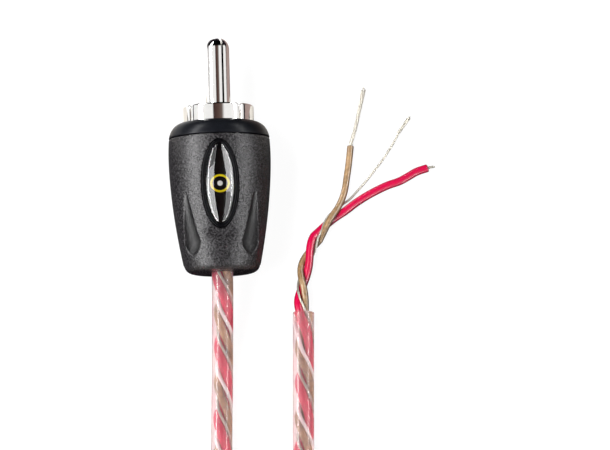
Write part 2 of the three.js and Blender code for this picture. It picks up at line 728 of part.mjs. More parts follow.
const cordPieces = [
  mesh('lead_from_plug', tube(leadFromPlug, JACKET_RADIUS, 36), finishes.jacket),
  mesh('lead_coil', makeCoil(), finishes.jacket),
  mesh('coil_tie', makeTie(), finishes.tie),
  mesh('lead_to_bare_end', tube(leadToBareEnd, JACKET_RADIUS, 16), finishes.jacket),
  mesh('red_core', tube(redPath, RED_RADIUS, 48), finishes.red),
  mesh('red_strands', tube(redTip, STRAND_RADIUS, 3), finishes.copper),
  mesh('brown_core', tube(brownPath, BROWN_RADIUS, 44), finishes.brown),
  mesh('brown_strands', tube(brownTip, STRAND_RADIUS, 12), finishes.copper),
  mesh('drain_wire', tube(drainPath, DRAIN_RADIUS, 48), finishes.copper),
  mesh('drain_tip', tube(drainTip, STRAND_RADIUS, 4), finishes.copper),
];

const lead = new THREE.Group();
lead.add(plug, ...cordPieces);

export default lead;
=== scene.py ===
"""A phono audio lead: moulded plug, clear twisted-core cable in a tied coil, and a stripped far end.

Sizes are in millimetres and are turned to metres where a mesh is made. The plug has its own frame:
x across, along from the tail face to the pin, and up through the badge.
"""

from __future__ import annotations

import json
import logging
import math
from dataclasses import dataclass, field
from enum import Enum
from typing import Sequence

import bpy
import numpy as np
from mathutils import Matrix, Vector

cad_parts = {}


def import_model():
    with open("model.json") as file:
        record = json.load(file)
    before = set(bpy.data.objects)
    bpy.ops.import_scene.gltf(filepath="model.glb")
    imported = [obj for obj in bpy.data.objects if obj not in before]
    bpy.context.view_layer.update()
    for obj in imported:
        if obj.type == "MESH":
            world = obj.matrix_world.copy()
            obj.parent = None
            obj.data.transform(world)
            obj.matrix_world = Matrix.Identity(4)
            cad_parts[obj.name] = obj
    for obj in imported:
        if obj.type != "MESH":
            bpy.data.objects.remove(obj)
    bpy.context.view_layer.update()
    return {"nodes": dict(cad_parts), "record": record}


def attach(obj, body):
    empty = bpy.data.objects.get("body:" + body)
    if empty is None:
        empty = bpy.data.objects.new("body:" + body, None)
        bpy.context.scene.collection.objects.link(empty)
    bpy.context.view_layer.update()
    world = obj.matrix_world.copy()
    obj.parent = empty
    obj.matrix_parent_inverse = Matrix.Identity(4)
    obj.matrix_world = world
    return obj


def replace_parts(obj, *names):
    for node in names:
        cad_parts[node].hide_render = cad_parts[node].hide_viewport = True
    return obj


LOG = logging.getLogger("phono_lead")
MM = 0.001
BODY = "root"
TURN = 2.0 * math.pi
HOLLOW = "hollow"
WHITE = (1.0, 1.0, 1.0, 1.0)
MOTTLE_STOPS = (0.35, 0.65)
SPECKLE_STOPS = (0.44, 0.58)

Socket = bpy.types.NodeSocket
Colour = tuple[float, float, float]
Points = tuple[tuple[float, float, float], ...]


class Finish(Enum):
    """The record's material slots, and the filler thread inside the lead."""

    NICKEL = "nickel"
    INSULATOR = "insulator"
    SMOOTH = "smooth_moulding"
    GRAINED = "grained_moulding"
    GLOSS = "gloss_black"
    RESIN = "clear_resin"
    SLEEVE = "sleeve"
    SOLDER = "solder"
    RED = "red_insulation"
    BROWN = "brown_insulation"
    TINNED = "tinned_copper"
    JACKET = "clear_jacket"
    TIE = "tie_fabric"
    FILLER = "filler_thread"


# Materials


class NodeBench:
    """A small helper that adds and links shader nodes in one material or world."""

    def __init__(self, owner: bpy.types.Material | bpy.types.World) -> None:
        """Starts on the emptied node tree of a material or world.

        Args:
            owner: the material or world to dress.
        """
        owner.use_nodes = True
        self.tree = owner.node_tree
        self.tree.nodes.clear()

    def put(self, value: object, socket: Socket) -> None:
        """Links a socket to an input, or sets the input to a plain value.

        Args:
            value: the socket or plain value.
            socket: the input.
        """
        if isinstance(value, Socket):
            self.tree.links.new(value, socket)
        else:
            socket.default_value = value

    def add(self, kind: str, **values: object) -> bpy.types.Node:
        """Adds a node and sets its attributes or input sockets.

        Args:
            kind: the node's Blender type name, without its first part.
            **values: attributes of the node, or inputs by name with spaces as underscores.

        Returns:
            The new node.
        """
        node = self.tree.nodes.new("ShaderNode" + kind)
        for name, value in values.items():
            socket = node.inputs.get(name.replace("_", " "))
            if socket is None:
                setattr(node, name, value)
            else:
                self.put(value, socket)
        return node

    def fill(self, node: bpy.types.Node, *values: object) -> Socket:
        """Sets or links a node's inputs in their order, and returns its first output.

        Args:
            node: the node.
            *values: the sockets or plain values.

        Returns:
            The node's first output.
        """
        for value, socket in zip(values, node.inputs):
            self.put(value, socket)
        return node.outputs[0]

    def maths(self, operation: str, *values: object, clamp: bool = False) -> Socket:
        """Adds a Math node.

        Args:
            operation: what it does.
            *values: its numbers or sockets.
            clamp: keeps the result from 0 to 1.

        Returns:
            The result's socket.
        """
        return self.fill(self.add("Math", operation=operation, use_clamp=clamp), *values)

    def between(self, value: Socket, low_mm: float, high_mm: float) -> Socket:
        """1 where a place is between two limits in millimetres, and 0 elsewhere."""
        above = self.maths("GREATER_THAN", value, low_mm * MM)
        return self.maths("MULTIPLY", above, self.maths("LESS_THAN", value, high_mm * MM))

    def ramp(self, factor: Socket, *stops: tuple[float, Colour]) -> Socket:
        """Adds a colour ramp with the given stops and returns its colour.

        Args:
            factor: the place on the ramp.
            *stops: pairs of a place and a colour.

        Returns:
            The colour's socket.
        """
        node = self.add("ValToRGB")
        elements = node.color_ramp.elements
        while len(elements) < len(stops):
            elements.new(0.5)
        for element, (place, colour) in zip(elements, stops):
            element.position = place
            element.color = (*colour, 1.0)
        return self.fill(node, factor)

    def noise(self, grain_mm: float, detail: float, **values: object) -> Socket:
        """Adds a noise of the given grain, read at the object's own coordinates.

        Args:
            grain_mm: the size of its grain.
            detail: how many finer layers it has.
            **values: its other inputs.

        Returns:
            Its socket.
        """
        place = self.add("TexCoord").outputs["Object"]
        scale = 1.0 / (grain_mm * MM)
        return self.add("TexNoise", Vector=place, Scale=scale, Detail=detail, **values).outputs["Fac"]

    def bump(self, height: Socket, depth_mm: float, **values: object) -> Socket:
        """Adds a bump of the given depth and returns its normal."""
        return self.add("Bump", Strength=1.0, Distance=depth_mm * MM, Height=height, **values).outputs[0]

    def mixed(self, shader: Socket, *layers: tuple[Socket, Socket]) -> Socket:
        """Lays shaders over a first one, each as far as its share says: a Mix Shader for each layer.

        Args:
            shader: the shader below.
            *layers: pairs of a share, from 0 to 1, and the shader that is laid on.

        Returns:
            The last mix.
        """
        for share, over in layers:
            shader = self.fill(self.add("MixShader"), share, shader, over)
        return shader

    def axes(self, place: Socket) -> tuple[Socket, Socket]:
        """The parts of a place or direction across and ahead."""
        parts = self.add("SeparateXYZ", Vector=place).outputs
        return parts["X"], parts["Y"]

    def shader(self, kind: str, **values: object) -> Socket:
        """Adds a shader node and returns its output."""
        return self.add(kind, **values).outputs[0]

    def show(self, kind: str, shader: Socket) -> None:
        """Gives a shader to the output of the material or world."""
        self.put(shader, self.add("Output" + kind).inputs["Surface"])


@dataclass(frozen=True)
class Surface:
    """A plain finish: a principled shader with grain in its bump and a little change in its colour."""

    slot: Finish
    colour: Colour
    roughness: float
    metallic: float = 0.0
    grain_mm: float = 0.3
    cloud_share: float = 5.0
    bump: float = 0.02
    mottle: float = 0.06
    coat: float = 0.0
    coat_roughness: float = 0.12
    ior: float = 1.5

    def make(self) -> bpy.types.Material:
        """Builds the material: the mean of a fine and a wide noise makes the colour paler or darker.

        Returns:
            The new material, named after its slot.
        """
        material = bpy.data.materials.new(self.slot.value)
        bench = NodeBench(material)
        grain = bench.noise(self.grain_mm, 3.0)
        cloud = bench.noise(self.grain_mm * self.cloud_share, 2.0)
        half = bench.maths("MULTIPLY", bench.maths("ADD", grain, cloud), 0.5)
        dark = tuple(c * (1.0 - self.mottle) for c in self.colour)
        light = tuple(min(1.0, c * (1.0 + self.mottle)) for c in self.colour)
        shader = bench.shader(
            "BsdfPrincipled",
            Base_Color=bench.ramp(half, *zip(MOTTLE_STOPS, (dark, light))),
            Roughness=self.roughness,
            Metallic=self.metallic,
            IOR=self.ior,
            Normal=bench.bump(grain, self.bump),
            Coat_Weight=self.coat,
            Coat_Roughness=self.coat_roughness,
        )
        bench.show("Material", shader)
        return material


@dataclass(frozen=True)
class GrainedMoulding:
    """The boot's moulded skin: charcoal, with a pebbled sandblast grain over a softer unevenness."""

    slot: Finish = Finish.GRAINED
    colour: Colour = (0.004, 0.0038, 0.0045)
    pale: Colour = (0.050, 0.047, 0.051)
    roughness: float = 0.25
    ior: float = 1.42
    pebble_mm: float = 0.27
    fine_mm: float = 0.13
    pebble_share: float = 0.7
    pebble_height: float = 0.075
    fine_height: float = 0.035
    # Painted shade: how much the grooves' hollows darken the colour, standing in for the shade that falls in
    # them.
    hollow_painted_shade: float = 0.3
    hollow_rough: float = 0.28

    def make(self) -> bpy.types.Material:
        """Builds the material: two noises make speckle and bump; the hollows get painted shade, a darker
        colour, and a duller shine.

        Returns:
            The new material.
        """
        material = bpy.data.materials.new(self.slot.value)
        bench = NodeBench(material)
        pebble = bench.noise(self.pebble_mm, 2.0, Roughness=0.6)
        fine = bench.noise(self.fine_mm, 3.0)
        rest = bench.maths("MULTIPLY", fine, 1.0 - self.pebble_share)
        speckle = bench.maths("MULTIPLY_ADD", pebble, self.pebble_share, rest)
        hollow = bench.add("Attribute", attribute_name=HOLLOW).outputs["Fac"]
        # Painted shade: the speckle's colour is darkened in the grooves' hollows.
        speckle_with_painted_shade = bench.maths("SUBTRACT", speckle, bench.maths("MULTIPLY", hollow, self.hollow_painted_shade))
        shader = bench.shader(
            "BsdfPrincipled",
            Base_Color=bench.ramp(speckle_with_painted_shade, *zip(SPECKLE_STOPS, (self.colour, self.pale))),
            Roughness=bench.maths("MULTIPLY_ADD", hollow, self.hollow_rough, self.roughness),
            IOR=self.ior,
            Normal=bench.bump(fine, self.fine_height, Normal=bench.bump(pebble, self.pebble_height)),
        )
        bench.show("Material", shader)
        return material


@dataclass(frozen=True)
class ClearMoulding:
    """A see-through plastic, tinted by its colour, with a faint waviness in its skin."""

    slot: Finish
    colour: Colour
    roughness: float
    ior: float
    wave_mm: float = 2.0
    wave_height: float = 0.01
    paler: float = 1.03
    clearness: float = 1.0
    sheen: float = 0.0
    sheen_roughness: float = 0.4

    def make(self) -> bpy.types.Material:
        """Builds the material: one noise is both the waviness and the tint's slight change.

        Returns:
            The new material.
        """
        material = bpy.data.materials.new(self.slot.value)
        bench = NodeBench(material)
        wave = bench.noise(self.wave_mm, 2.0)
        paler = tuple(min(1.0, c * self.paler) for c in self.colour)
        shader = bench.shader(
            "BsdfPrincipled",
            Base_Color=bench.ramp(wave, *zip(MOTTLE_STOPS, (self.colour, paler))),
            Roughness=self.roughness,
            IOR=self.ior,
            Normal=bench.bump(wave, self.wave_height),
            Transmission_Weight=self.clearness,
            Sheen_Weight=self.sheen,
            Sheen_Roughness=self.sheen_roughness,
            Sheen_Tint=(*self.colour, 1.0),
        )
        bench.show("Material", shader)
        return material


FINISHES = (
    Surface(Finish.NICKEL, (0.86, 0.85, 0.83), 0.08, 1.0, grain_mm=0.5, bump=0.0015, mottle=0.02),
    Surface(Finish.INSULATOR, (0.80, 0.77, 0.70), 0.5),
    Surface(Finish.SMOOTH, (0.008, 0.009, 0.012), 0.3, grain_mm=0.2, bump=0.003, mottle=0.2, ior=1.2),
    GrainedMoulding(),
    Surface(Finish.GLOSS, (0.003, 0.003, 0.004), 0.16, grain_mm=1.0, bump=0.002, mottle=0.1, ior=1.2),
    ClearMoulding(Finish.RESIN, (0.97, 0.97, 0.98), 0.0, 1.5),
    Surface(Finish.SLEEVE, (0.33, 0.33, 0.31), 0.6),
    Surface(Finish.SOLDER, (0.62, 0.63, 0.65), 0.28, 1.0, grain_mm=0.2, bump=0.02),
    Surface(Finish.RED, (0.68, 0.003, 0.066), 0.26, grain_mm=0.5, bump=0.015, mottle=0.1, coat=0.6),
    Surface(Finish.BROWN, (0.40, 0.25, 0.125), 0.26, grain_mm=0.4, bump=0.025, mottle=0.4, coat=0.6),
    Surface(Finish.TINNED, (0.56, 0.53, 0.46), 0.3, 0.45, grain_mm=0.1, bump=0.006, mottle=0.08),
    ClearMoulding(
        Finish.JACKET,
        (0.97, 0.79, 0.80),
        0.22,
        1.46,
        wave_mm=0.35,
        wave_height=0.012,
        clearness=0.9,
        sheen=0.6,
    ),
    Surface(Finish.TIE, (0.016, 0.016, 0.018), 0.8, grain_mm=0.15, bump=0.08, mottle=0.4),
    Surface(Finish.FILLER, (0.95, 0.95, 0.94), 0.8, grain_mm=0.2, bump=0.03, mottle=0.03),
)
PALETTE: dict[Finish, bpy.types.Material] = {}


# Mesh making


def put_on(obj: bpy.types.Object, slot: Finish) -> None:
    """Gives an object one material, the one made for its finish.

    Args:
        obj: the object.
        slot: its finish.
    """
    obj.data.materials.clear()
    obj.data.materials.append(PALETTE[slot])


@dataclass
class Shell:
    """Closed surfaces gathered into one mesh, each a grid of points that closes across its rows."""

    points: list[np.ndarray] = field(default_factory=list)
    faces: list[np.ndarray] = field(default_factory=list)
    rings: list[np.ndarray] = field(default_factory=list)
    count: int = 0

    def grid(self, points: np.ndarray, loop: bool = False) -> Shell:
        """Adds a grid whose last column joins its first, with its ends capped or joined to a loop.

        Args:
            points: the grid, as rows by columns by 3.
            loop: joins the last row to the first, in place of a polygon at each end.

        Returns:
            The shell itself.
        """
        index = np.arange(points.shape[0] * points.shape[1]).reshape(points.shape[:2])
        index = np.concatenate([index, index[:, :1]], axis=1)
        if loop:
            index = np.concatenate([index, index[:1]], axis=0)
        quads = np.stack([index[:-1, :-1], index[1:, :-1], index[1:, 1:], index[:-1, 1:]], axis=-1)
        quads = quads.reshape(-1, 4)
        rings = [] if loop else [index[0, :-1], index[-1, -2::-1]]
        flat = points.reshape(-1, 3)
        if self._inside_out(flat, quads, rings):
            quads = quads[:, ::-1]
            rings = [ring[::-1] for ring in rings]
        self.points.append(flat)
        self.faces.append(quads + self.count)
        self.rings += [ring + self.count for ring in rings]
        self.count += len(flat)
        return self

    @staticmethod
    def _inside_out(flat: np.ndarray, quads: np.ndarray, rings: list[np.ndarray]) -> bool:
        """Tells whether a closed grid's faces point inwards, by the sign of the volume they enclose.

        Args:
            flat: the grid's points in one list.
            quads: its faces, as rows of four indices.
            rings: its end caps, as indices.

        Returns:
            Whether the faces have to be turned over.
        """
        flat = flat - flat.mean(axis=0)
        a, b, c, d = (flat[quads[:, i]] for i in range(4))
        volume = (np.cross(a, b) * c).sum() + (np.cross(a, c) * d).sum()
        for ring in (flat[r] for r in rings):
            volume += (np.cross(ring, np.roll(ring, -1, axis=0)) * ring.mean(axis=0)).sum()
        return bool(volume < 0.0)

    def build(self, name: str, slot: Finish, sharp: float = 35.0) -> bpy.types.Object:
        """Makes the object, shades it smooth up to an angle, and lets it ride on the body.

        Args:
            name: the object's name.
            slot: the finish that it takes.
            sharp: edges sharper than this many degrees stay crisp.

        Returns:
            The new object, at the origin, with its place in its mesh.
        """
        quads = np.concatenate(self.faces)
        loops = np.concatenate([quads.reshape(-1), *self.rings]).astype(np.int32)
        sizes = np.concatenate([np.full(len(quads), 4), [len(r) for r in self.rings]]).astype(np.int32)
        starts = np.concatenate([[0], np.cumsum(sizes)[:-1]]).astype(np.int32)
        mesh = bpy.data.meshes.new(name)
        mesh.vertices.add(self.count)
        mesh.vertices.foreach_set("co", np.concatenate(self.points).astype(np.float32).reshape(-1))
        mesh.loops.add(len(loops))
        mesh.loops.foreach_set("vertex_index", loops)
        mesh.polygons.add(len(sizes))
        mesh.polygons.foreach_set("loop_start", starts)
        mesh.update(calc_edges=True)
        mesh.validate()
        mesh.polygons.foreach_set("use_smooth", np.ones(len(mesh.polygons), dtype=bool))
        mesh.set_sharp_from_angle(angle=math.radians(sharp))
        obj = bpy.data.objects.new(name, mesh)
        bpy.context.scene.collection.objects.link(obj)
        put_on(obj, slot)
        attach(obj, BODY)
        LOG.info("%s: %d points, %d faces", name, self.count, len(sizes))
        return obj


# Lines that cables follow


def through(points: Sequence[Sequence[float]], samples: int = 24) -> np.ndarray:
    """A smooth line through points: a cubic for each span, whose slopes come from the chords on both sides.

    Args:
        points: the points to pass.
        samples: how many points each span gets.

    Returns:
        The line's points.
    """
    p = np.asarray(points, dtype=float)
    chord = np.sqrt(np.linalg.norm(np.diff(p, axis=0), axis=1))
    knots = np.concatenate([[0.0], np.cumsum(chord)])
    slopes = np.gradient(p, knots, axis=0)
    t = np.linspace(0.0, 1.0, samples, endpoint=False)[None, :, None]
    h = chord[:, None, None]
    a, b = p[:-1, None], p[1:, None]
    m, n = slopes[:-1, None] * h, slopes[1:, None] * h
    line = (2 * t**3 - 3 * t**2 + 1) * a + (t**3 - 2 * t**2 + t) * m
    line = line + (3 * t**2 - 2 * t**3) * b + (t**3 - t**2) * n
    return np.concatenate([line.reshape(-1, 3), p[-1:]])


def run_of(line: np.ndarray) -> np.ndarray:
    """The distance from a line's start to each of its points."""
    return np.concatenate([[0.0], np.cumsum(np.linalg.norm(np.diff(line, axis=0), axis=1))])


def points_at(line: np.ndarray, places: np.ndarray) -> np.ndarray:
    """The points of a line at distances along it, on the chords between its own points."""
    run = run_of(line)
    return np.stack([np.interp(places, run, line[:, i]) for i in range(3)], axis=1)


def respaced(line: np.ndarray, step: float) -> np.ndarray:
    """The same line with points an even distance apart, close to step.

    Args:
        line: the line's points.
        step: the distance.

    Returns:
        The new points.
    """
    run = run_of(line)
    places = np.linspace(0.0, run[-1], max(2, int(round(run[-1] / step)) + 1))
    return points_at(line, places)


def eased(line: np.ndarray, reach: int) -> np.ndarray:
    """The line with each point moved to the mean of its neighbours within reach, its ends held.

    Args:
        line: the line's points.
        reach: how many neighbours on each side count.

    Returns:
        The smoothed line.
    """
    weights = np.hanning(2 * reach + 3)[1:-1]
    weights = weights / weights.sum()
    before = 2 * line[:1] - line[reach:0:-1]
    after = 2 * line[-1:] - line[-2 : -reach - 2 : -1]
    longer = np.concatenate([before, line, after])
    return np.stack([np.convolve(longer[:, i], weights, mode="valid") for i in range(3)], axis=1)


def frames(line: np.ndarray) -> tuple[np.ndarray, np.ndarray, np.ndarray]:
    """A line's tangent, its level side vector (tangent across up) and the vector square to both.

    Args:
        line: the line's points.

    Returns:
        The three unit vectors at each point.
    """
    tangent = np.gradient(line, axis=0)
    tangent /= np.linalg.norm(tangent, axis=1, keepdims=True)
    side = np.cross(tangent, (0.0, 0.0, 1.0))
    side /= np.linalg.norm(side, axis=1, keepdims=True)
    return tangent, side, np.cross(side, tangent)


def wound(line: np.ndarray, reach: np.ndarray | float, angle: np.ndarray) -> np.ndarray:
    """A line wound round another: each point stands off by reach, at an angle from the side vector.

    Args:
        line: the line in the middle.
        reach: the distance from it.
        angle: the angle at each point.

    Returns:
        The wound line.
    """
    _, side, up = frames(line)
    reach = np.broadcast_to(reach, len(line))[:, None]
    return line + reach * (np.cos(angle)[:, None] * side + np.sin(angle)[:, None] * up)


def tube_grid(line: np.ndarray, radius: np.ndarray | float, sides: int) -> np.ndarray:
    """A round tube's points: at each point of the line, a circle in the plane square to it.

    Args:
        line: the tube's centreline.
        radius: one radius, or one for each point.
        sides: points round the circle.

    Returns:
        The grid, as line points by sides by 3.
    """
    _, side, up = frames(line)
    angle = round_turn(sides)
    radius = np.broadcast_to(np.asarray(radius, dtype=float), len(line))[:, None, None]
    cosine, sine = np.cos(angle)[None, :, None], np.sin(angle)[None, :, None]
    return line[:, None] + radius * (cosine * side[:, None] + sine * up[:, None])


def rounded_ends(line: np.ndarray, radius: float, bevel: float) -> tuple[np.ndarray, np.ndarray]:
    """A tube's line and radii with a quarter-round bevel at both ends.

    Args:
        line: the centreline.
        radius: the tube's radius.
        bevel: the bevel's size.

    Returns:
        The line with extra points near its ends, and the radius at each point.
    """
    angle = np.linspace(0.0, math.pi / 2, 5)
    inset = bevel * (1.0 - np.sin(angle))[::-1]
    run = run_of(line)
    plain = run[(run > bevel) & (run < run[-1] - bevel)]
    places = np.concatenate([bevel - inset[::-1], plain, run[-1] - bevel + inset])
    places = np.unique(np.round(places, 9))
    near = np.minimum(places, run[-1] - places)
    drop = bevel - np.sqrt(np.maximum(0.0, bevel**2 - np.maximum(0.0, bevel - near) ** 2))
    return points_at(line, places), radius - drop


def soft_min(a: np.ndarray, b: np.ndarray, blend: float) -> np.ndarray:
    """The smaller of two heights, rounded over where they are within blend of each other."""
    share = np.clip(0.5 + 0.5 * (b - a) / blend, 0.0, 1.0)
    return b * (1.0 - share) + a * share - blend * share * (1.0 - share)


def eased_step(t: np.ndarray) -> np.ndarray:
    """A smooth rise from 0 to 1 while t goes from 0 to 1."""
    t = np.clip(t, 0.0, 1.0)
    return t * t * (3.0 - 2.0 * t)


def round_turn(count: int) -> np.ndarray:
    """The angles of points that stand evenly round a full turn."""
    return np.arange(count) * TURN / count


def squared_off(wave: np.ndarray, power: float) -> np.ndarray:
    """A wave with its size raised to a power and its sign kept: below 1 it makes a circle squarer."""
    return np.sign(wave) * np.abs(wave) ** power


# Plug


@dataclass
class PlugPlace:
    """Where the plug lies: its tail's centre and axis, taken from the record's tail face."""

    tail_mount_below: float = 2.9
    centre: np.ndarray = field(default_factory=lambda: np.zeros(3))
    along: np.ndarray = field(default_factory=lambda: np.array([0.0, 1.0, 0.0]))
    up: np.ndarray = field(default_factory=lambda: np.array([0.0, 0.0, 1.0]))

    def read(self, record: dict) -> None:
        """Takes the place from the record.

        Args:
            record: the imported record.
        """
        tail = next(m for m in record["mounts"] if m["name"] == "tail_face")
        axis = -np.asarray(tail["axis"], dtype=float)
        self.along = axis / np.linalg.norm(axis)
        self.up = np.cross((1.0, 0.0, 0.0), self.along)
        self.centre = np.asarray(tail["pos_m"], dtype=float) / MM + self.up * self.tail_mount_below

    def world(self, x: np.ndarray, along: np.ndarray, up: np.ndarray) -> np.ndarray:
        """Points of the plug's frame in the model's, in metres.

        Args:
            x: places across, in millimetres.
            along: places from the tail face towards the pin.
            up: heights above the plug's axis.

        Returns:
            The points, with a last axis of 3.
        """
        x, along, up = np.broadcast_arrays(x, along, up)
        at = self.centre + along[..., None] * self.along + up[..., None] * self.up
        return (at + x[..., None] * np.array([1.0, 0.0, 0.0])) * MM

    def polar(self, radius: np.ndarray, along: np.ndarray, angle: np.ndarray) -> np.ndarray:
        """Points at a distance from the plug's axis, in the direction of an angle from the top."""
        return self.world(radius * np.sin(angle), along, radius * np.cos(angle))

    def turned(self, profile: np.ndarray, sides: int) -> np.ndarray:
        """A profile turned round the plug's axis: each profile point becomes a circle.

        Args:
            profile: radii and places along the axis, as rows.
            sides: points round.

        Returns:
            The grid, as profile points by sides by 3, in metres.
        """
        profile = np.asarray(profile, dtype=float)
        return self.polar(profile[:, :1], profile[:, 1:], round_turn(sides)[None])


def arc(radius: float, along: float, size: float, start: float, end: float, count: int) -> np.ndarray:
    """Points of a quarter round in a profile, angles in degrees from outwards towards the pin."""
    angle = np.radians(np.linspace(start, end, count))
    return np.stack([radius + size * np.cos(angle), along + size * np.sin(angle)], axis=1)


def straight(start: tuple[float, float], end: tuple[float, float], count: int) -> np.ndarray:
    """Evenly spaced profile points from start up to, but without, end."""
    return np.linspace(start, end, count, endpoint=False)


@dataclass
class Boot:
    """The grained boot: a barrel that swells by a power of the distance left to its widest place."""

    place: PlugPlace
    badge: Badge
    length: float = 17.65
    tail_radius: float = 4.85
    waist_radius: float = 6.71
    waist_at: float = 15.2
    power: float = 1.77
    fillet: float = 1.1
    bore: float = 1.55
    sleeve_seat: float = 3.9
    sleeve_from: float = 2.45
    collar_seat: float = 4.78
    collar_from: float = 11.25
    groove_turns: tuple[float, ...] = (45.0, 135.0, 225.0, 315.0)
    groove_from: float = 1.9
    groove_to: float = 11.6
    groove_deepest: float = 3.8
    groove_radius: float = 1.75
    groove_depth: float = 1.0
    groove_blunt: float = 0.8
    groove_drawn: float = 1.9
    groove_edge: float = 0.05
    hollow_full: float = 0.7
    edge: float = 0.1
    rim_edge: float = 0.12
    fillet_out: float = 0.13
    scoop_at: float = 4.7
    scoop_depth: float = 0.4
    scoop_width: float = 1.5
    scoop_length: float = 0.8
    rows: int = 168
    sides: int = 420

    def radius(self, along: np.ndarray) -> np.ndarray:
        """The plain barrel's radius at places along it.

        Args:
            along: places along the plug.

        Returns:
            The radii.
        """
        left = np.maximum(0.0, (self.waist_at - along) / self.waist_at)
        past = np.maximum(0.0, along - self.waist_at) / (self.length - self.waist_at)
        return self.waist_radius - (self.waist_radius - self.tail_radius) * left**self.power - 0.1 * past**2

    def _groove_share(self, along: np.ndarray) -> np.ndarray:
        """Share of the full depth along a finger groove: blunt near the tail, drawn out ahead.

        Args:
            along: places along the plug.

        Returns:
            The shares, from 0 to 1.
        """
        rise = np.clip((along - self.groove_from) / (self.groove_deepest - self.groove_from), 0.0, 1.0)
        fall = np.clip((self.groove_to - along) / (self.groove_to - self.groove_deepest), 0.0, 1.0)
        blunt = np.sin(rise * math.pi / 2) ** self.groove_blunt
        return np.where(along < self.groove_deepest, blunt, fall**self.groove_drawn)

    def _grooved(self, radius: np.ndarray, along: np.ndarray, angle: np.ndarray) -> np.ndarray:
        """The barrel cut by the grooves: each is a teardrop of revolution beside the barrel.

        A ray from the axis meets the teardrop's round section where its distance from the
        section's centre is the section's radius, and the nearer of that and the barrel is kept.

        Args:
            radius: the barrel's radii.
            along: their places along the plug.
            angle: their angles from the top.

        Returns:
            The radii with the grooves.
        """
        clear = self.groove_radius - self.groove_depth
        ends = self.radius(np.array([self.groove_from, self.groove_to]))
        slope = (ends[1] - ends[0]) / (self.groove_to - self.groove_from)
        lift = self.radius(np.array(self.groove_deepest)) + clear + slope * (along - self.groove_deepest)
        size = clear + self.groove_depth * self._groove_share(along)
        inside = (along > self.groove_from) & (along < self.groove_to)
        for turn in self.groove_turns:
            off = (angle - math.radians(turn) + math.pi) % TURN - math.pi
            root = size**2 - (lift * np.sin(off)) ** 2
            met = inside & (root > 0.0) & (np.abs(off) < math.pi / 2)
            wall = np.where(met, lift * np.cos(off) - np.sqrt(np.maximum(root, 0.0)), 99.0)
            radius = soft_min(radius, wall, self.groove_edge)
        return radius

    def make(self) -> None:
        """Builds the boot round its bores, with the badge's pocket sunk in its skin."""
        round_from = self.tail_radius - self.fillet
        fillet = arc(round_from + self.fillet_out, self.fillet, self.fillet, -90.0, 0.0, 9)[:-1]
        along = np.linspace(self.fillet, self.length - self.rim_edge, self.rows)
        barrel = np.stack([self.radius(along), along], axis=1)
        front = float(self.radius(np.array(self.length)))
        rim = arc(front - self.rim_edge, self.length - self.rim_edge, self.rim_edge, 15.0, 90.0, 4)
        corners = (
            (front - 0.3, self.length),
            (self.collar_seat, self.length),
            (self.collar_seat, self.collar_from),
            (self.sleeve_seat, self.collar_from),
            (self.sleeve_seat, self.sleeve_from),
            (self.bore, self.sleeve_from),
            (self.bore, self.edge),
        )
        walls = [straight(a, b, n) for a, b, n in zip(corners, corners[1:], (3, 3, 2, 3, 2, 3))]
        mouth = arc(self.bore + self.edge, self.edge, self.edge, 180.0, 270.0, 4)
        tail = straight((self.bore + 0.4, 0.0), (round_from, 0.0), 5)
        profile = np.concatenate([fillet, barrel, rim, *walls, mouth, tail])
        shape = (len(profile), self.sides)
        radius = np.broadcast_to(profile[:, :1], shape).copy()
        place = np.broadcast_to(profile[:, 1:], shape).copy()
        angle = np.broadcast_to(round_turn(self.sides), shape).copy()
        skin = slice(0, len(fillet) + len(barrel))
        outer = self._grooved(radius[skin], place[skin], angle[skin])
        # The hollow measure, a share of each groove's depth, drives the painted shade in the grooves' colour
        # and their duller shine.
        hollow = np.zeros(shape)
        hollow[skin] = np.clip((radius[skin] - outer) / (self.hollow_full * self.groove_depth), 0.0, 1.0)
        x, up = outer * np.sin(angle[skin]), outer * np.cos(angle[skin])
        ahead = (place[skin] - self.scoop_at) / self.scoop_length
        scoop = np.exp(-((x / self.scoop_width) ** 2) - ahead**2)
        outer = outer - np.where(up > 0.0, self.scoop_depth * scoop, 0.0)
        place[skin], angle[skin] = self.badge.snapped(outer, place[skin], angle[skin])
        radius[skin] = self.badge.pocketed(outer, place[skin], angle[skin])
        shell = Shell().grid(self.place.polar(radius, place, angle), loop=True)
        obj = shell.build("boot", Finish.GRAINED, 40.0)
        obj.data.attributes.new(HOLLOW, "FLOAT", "POINT").data.foreach_set("value", hollow.reshape(-1))
        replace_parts(obj, "boot_shell")


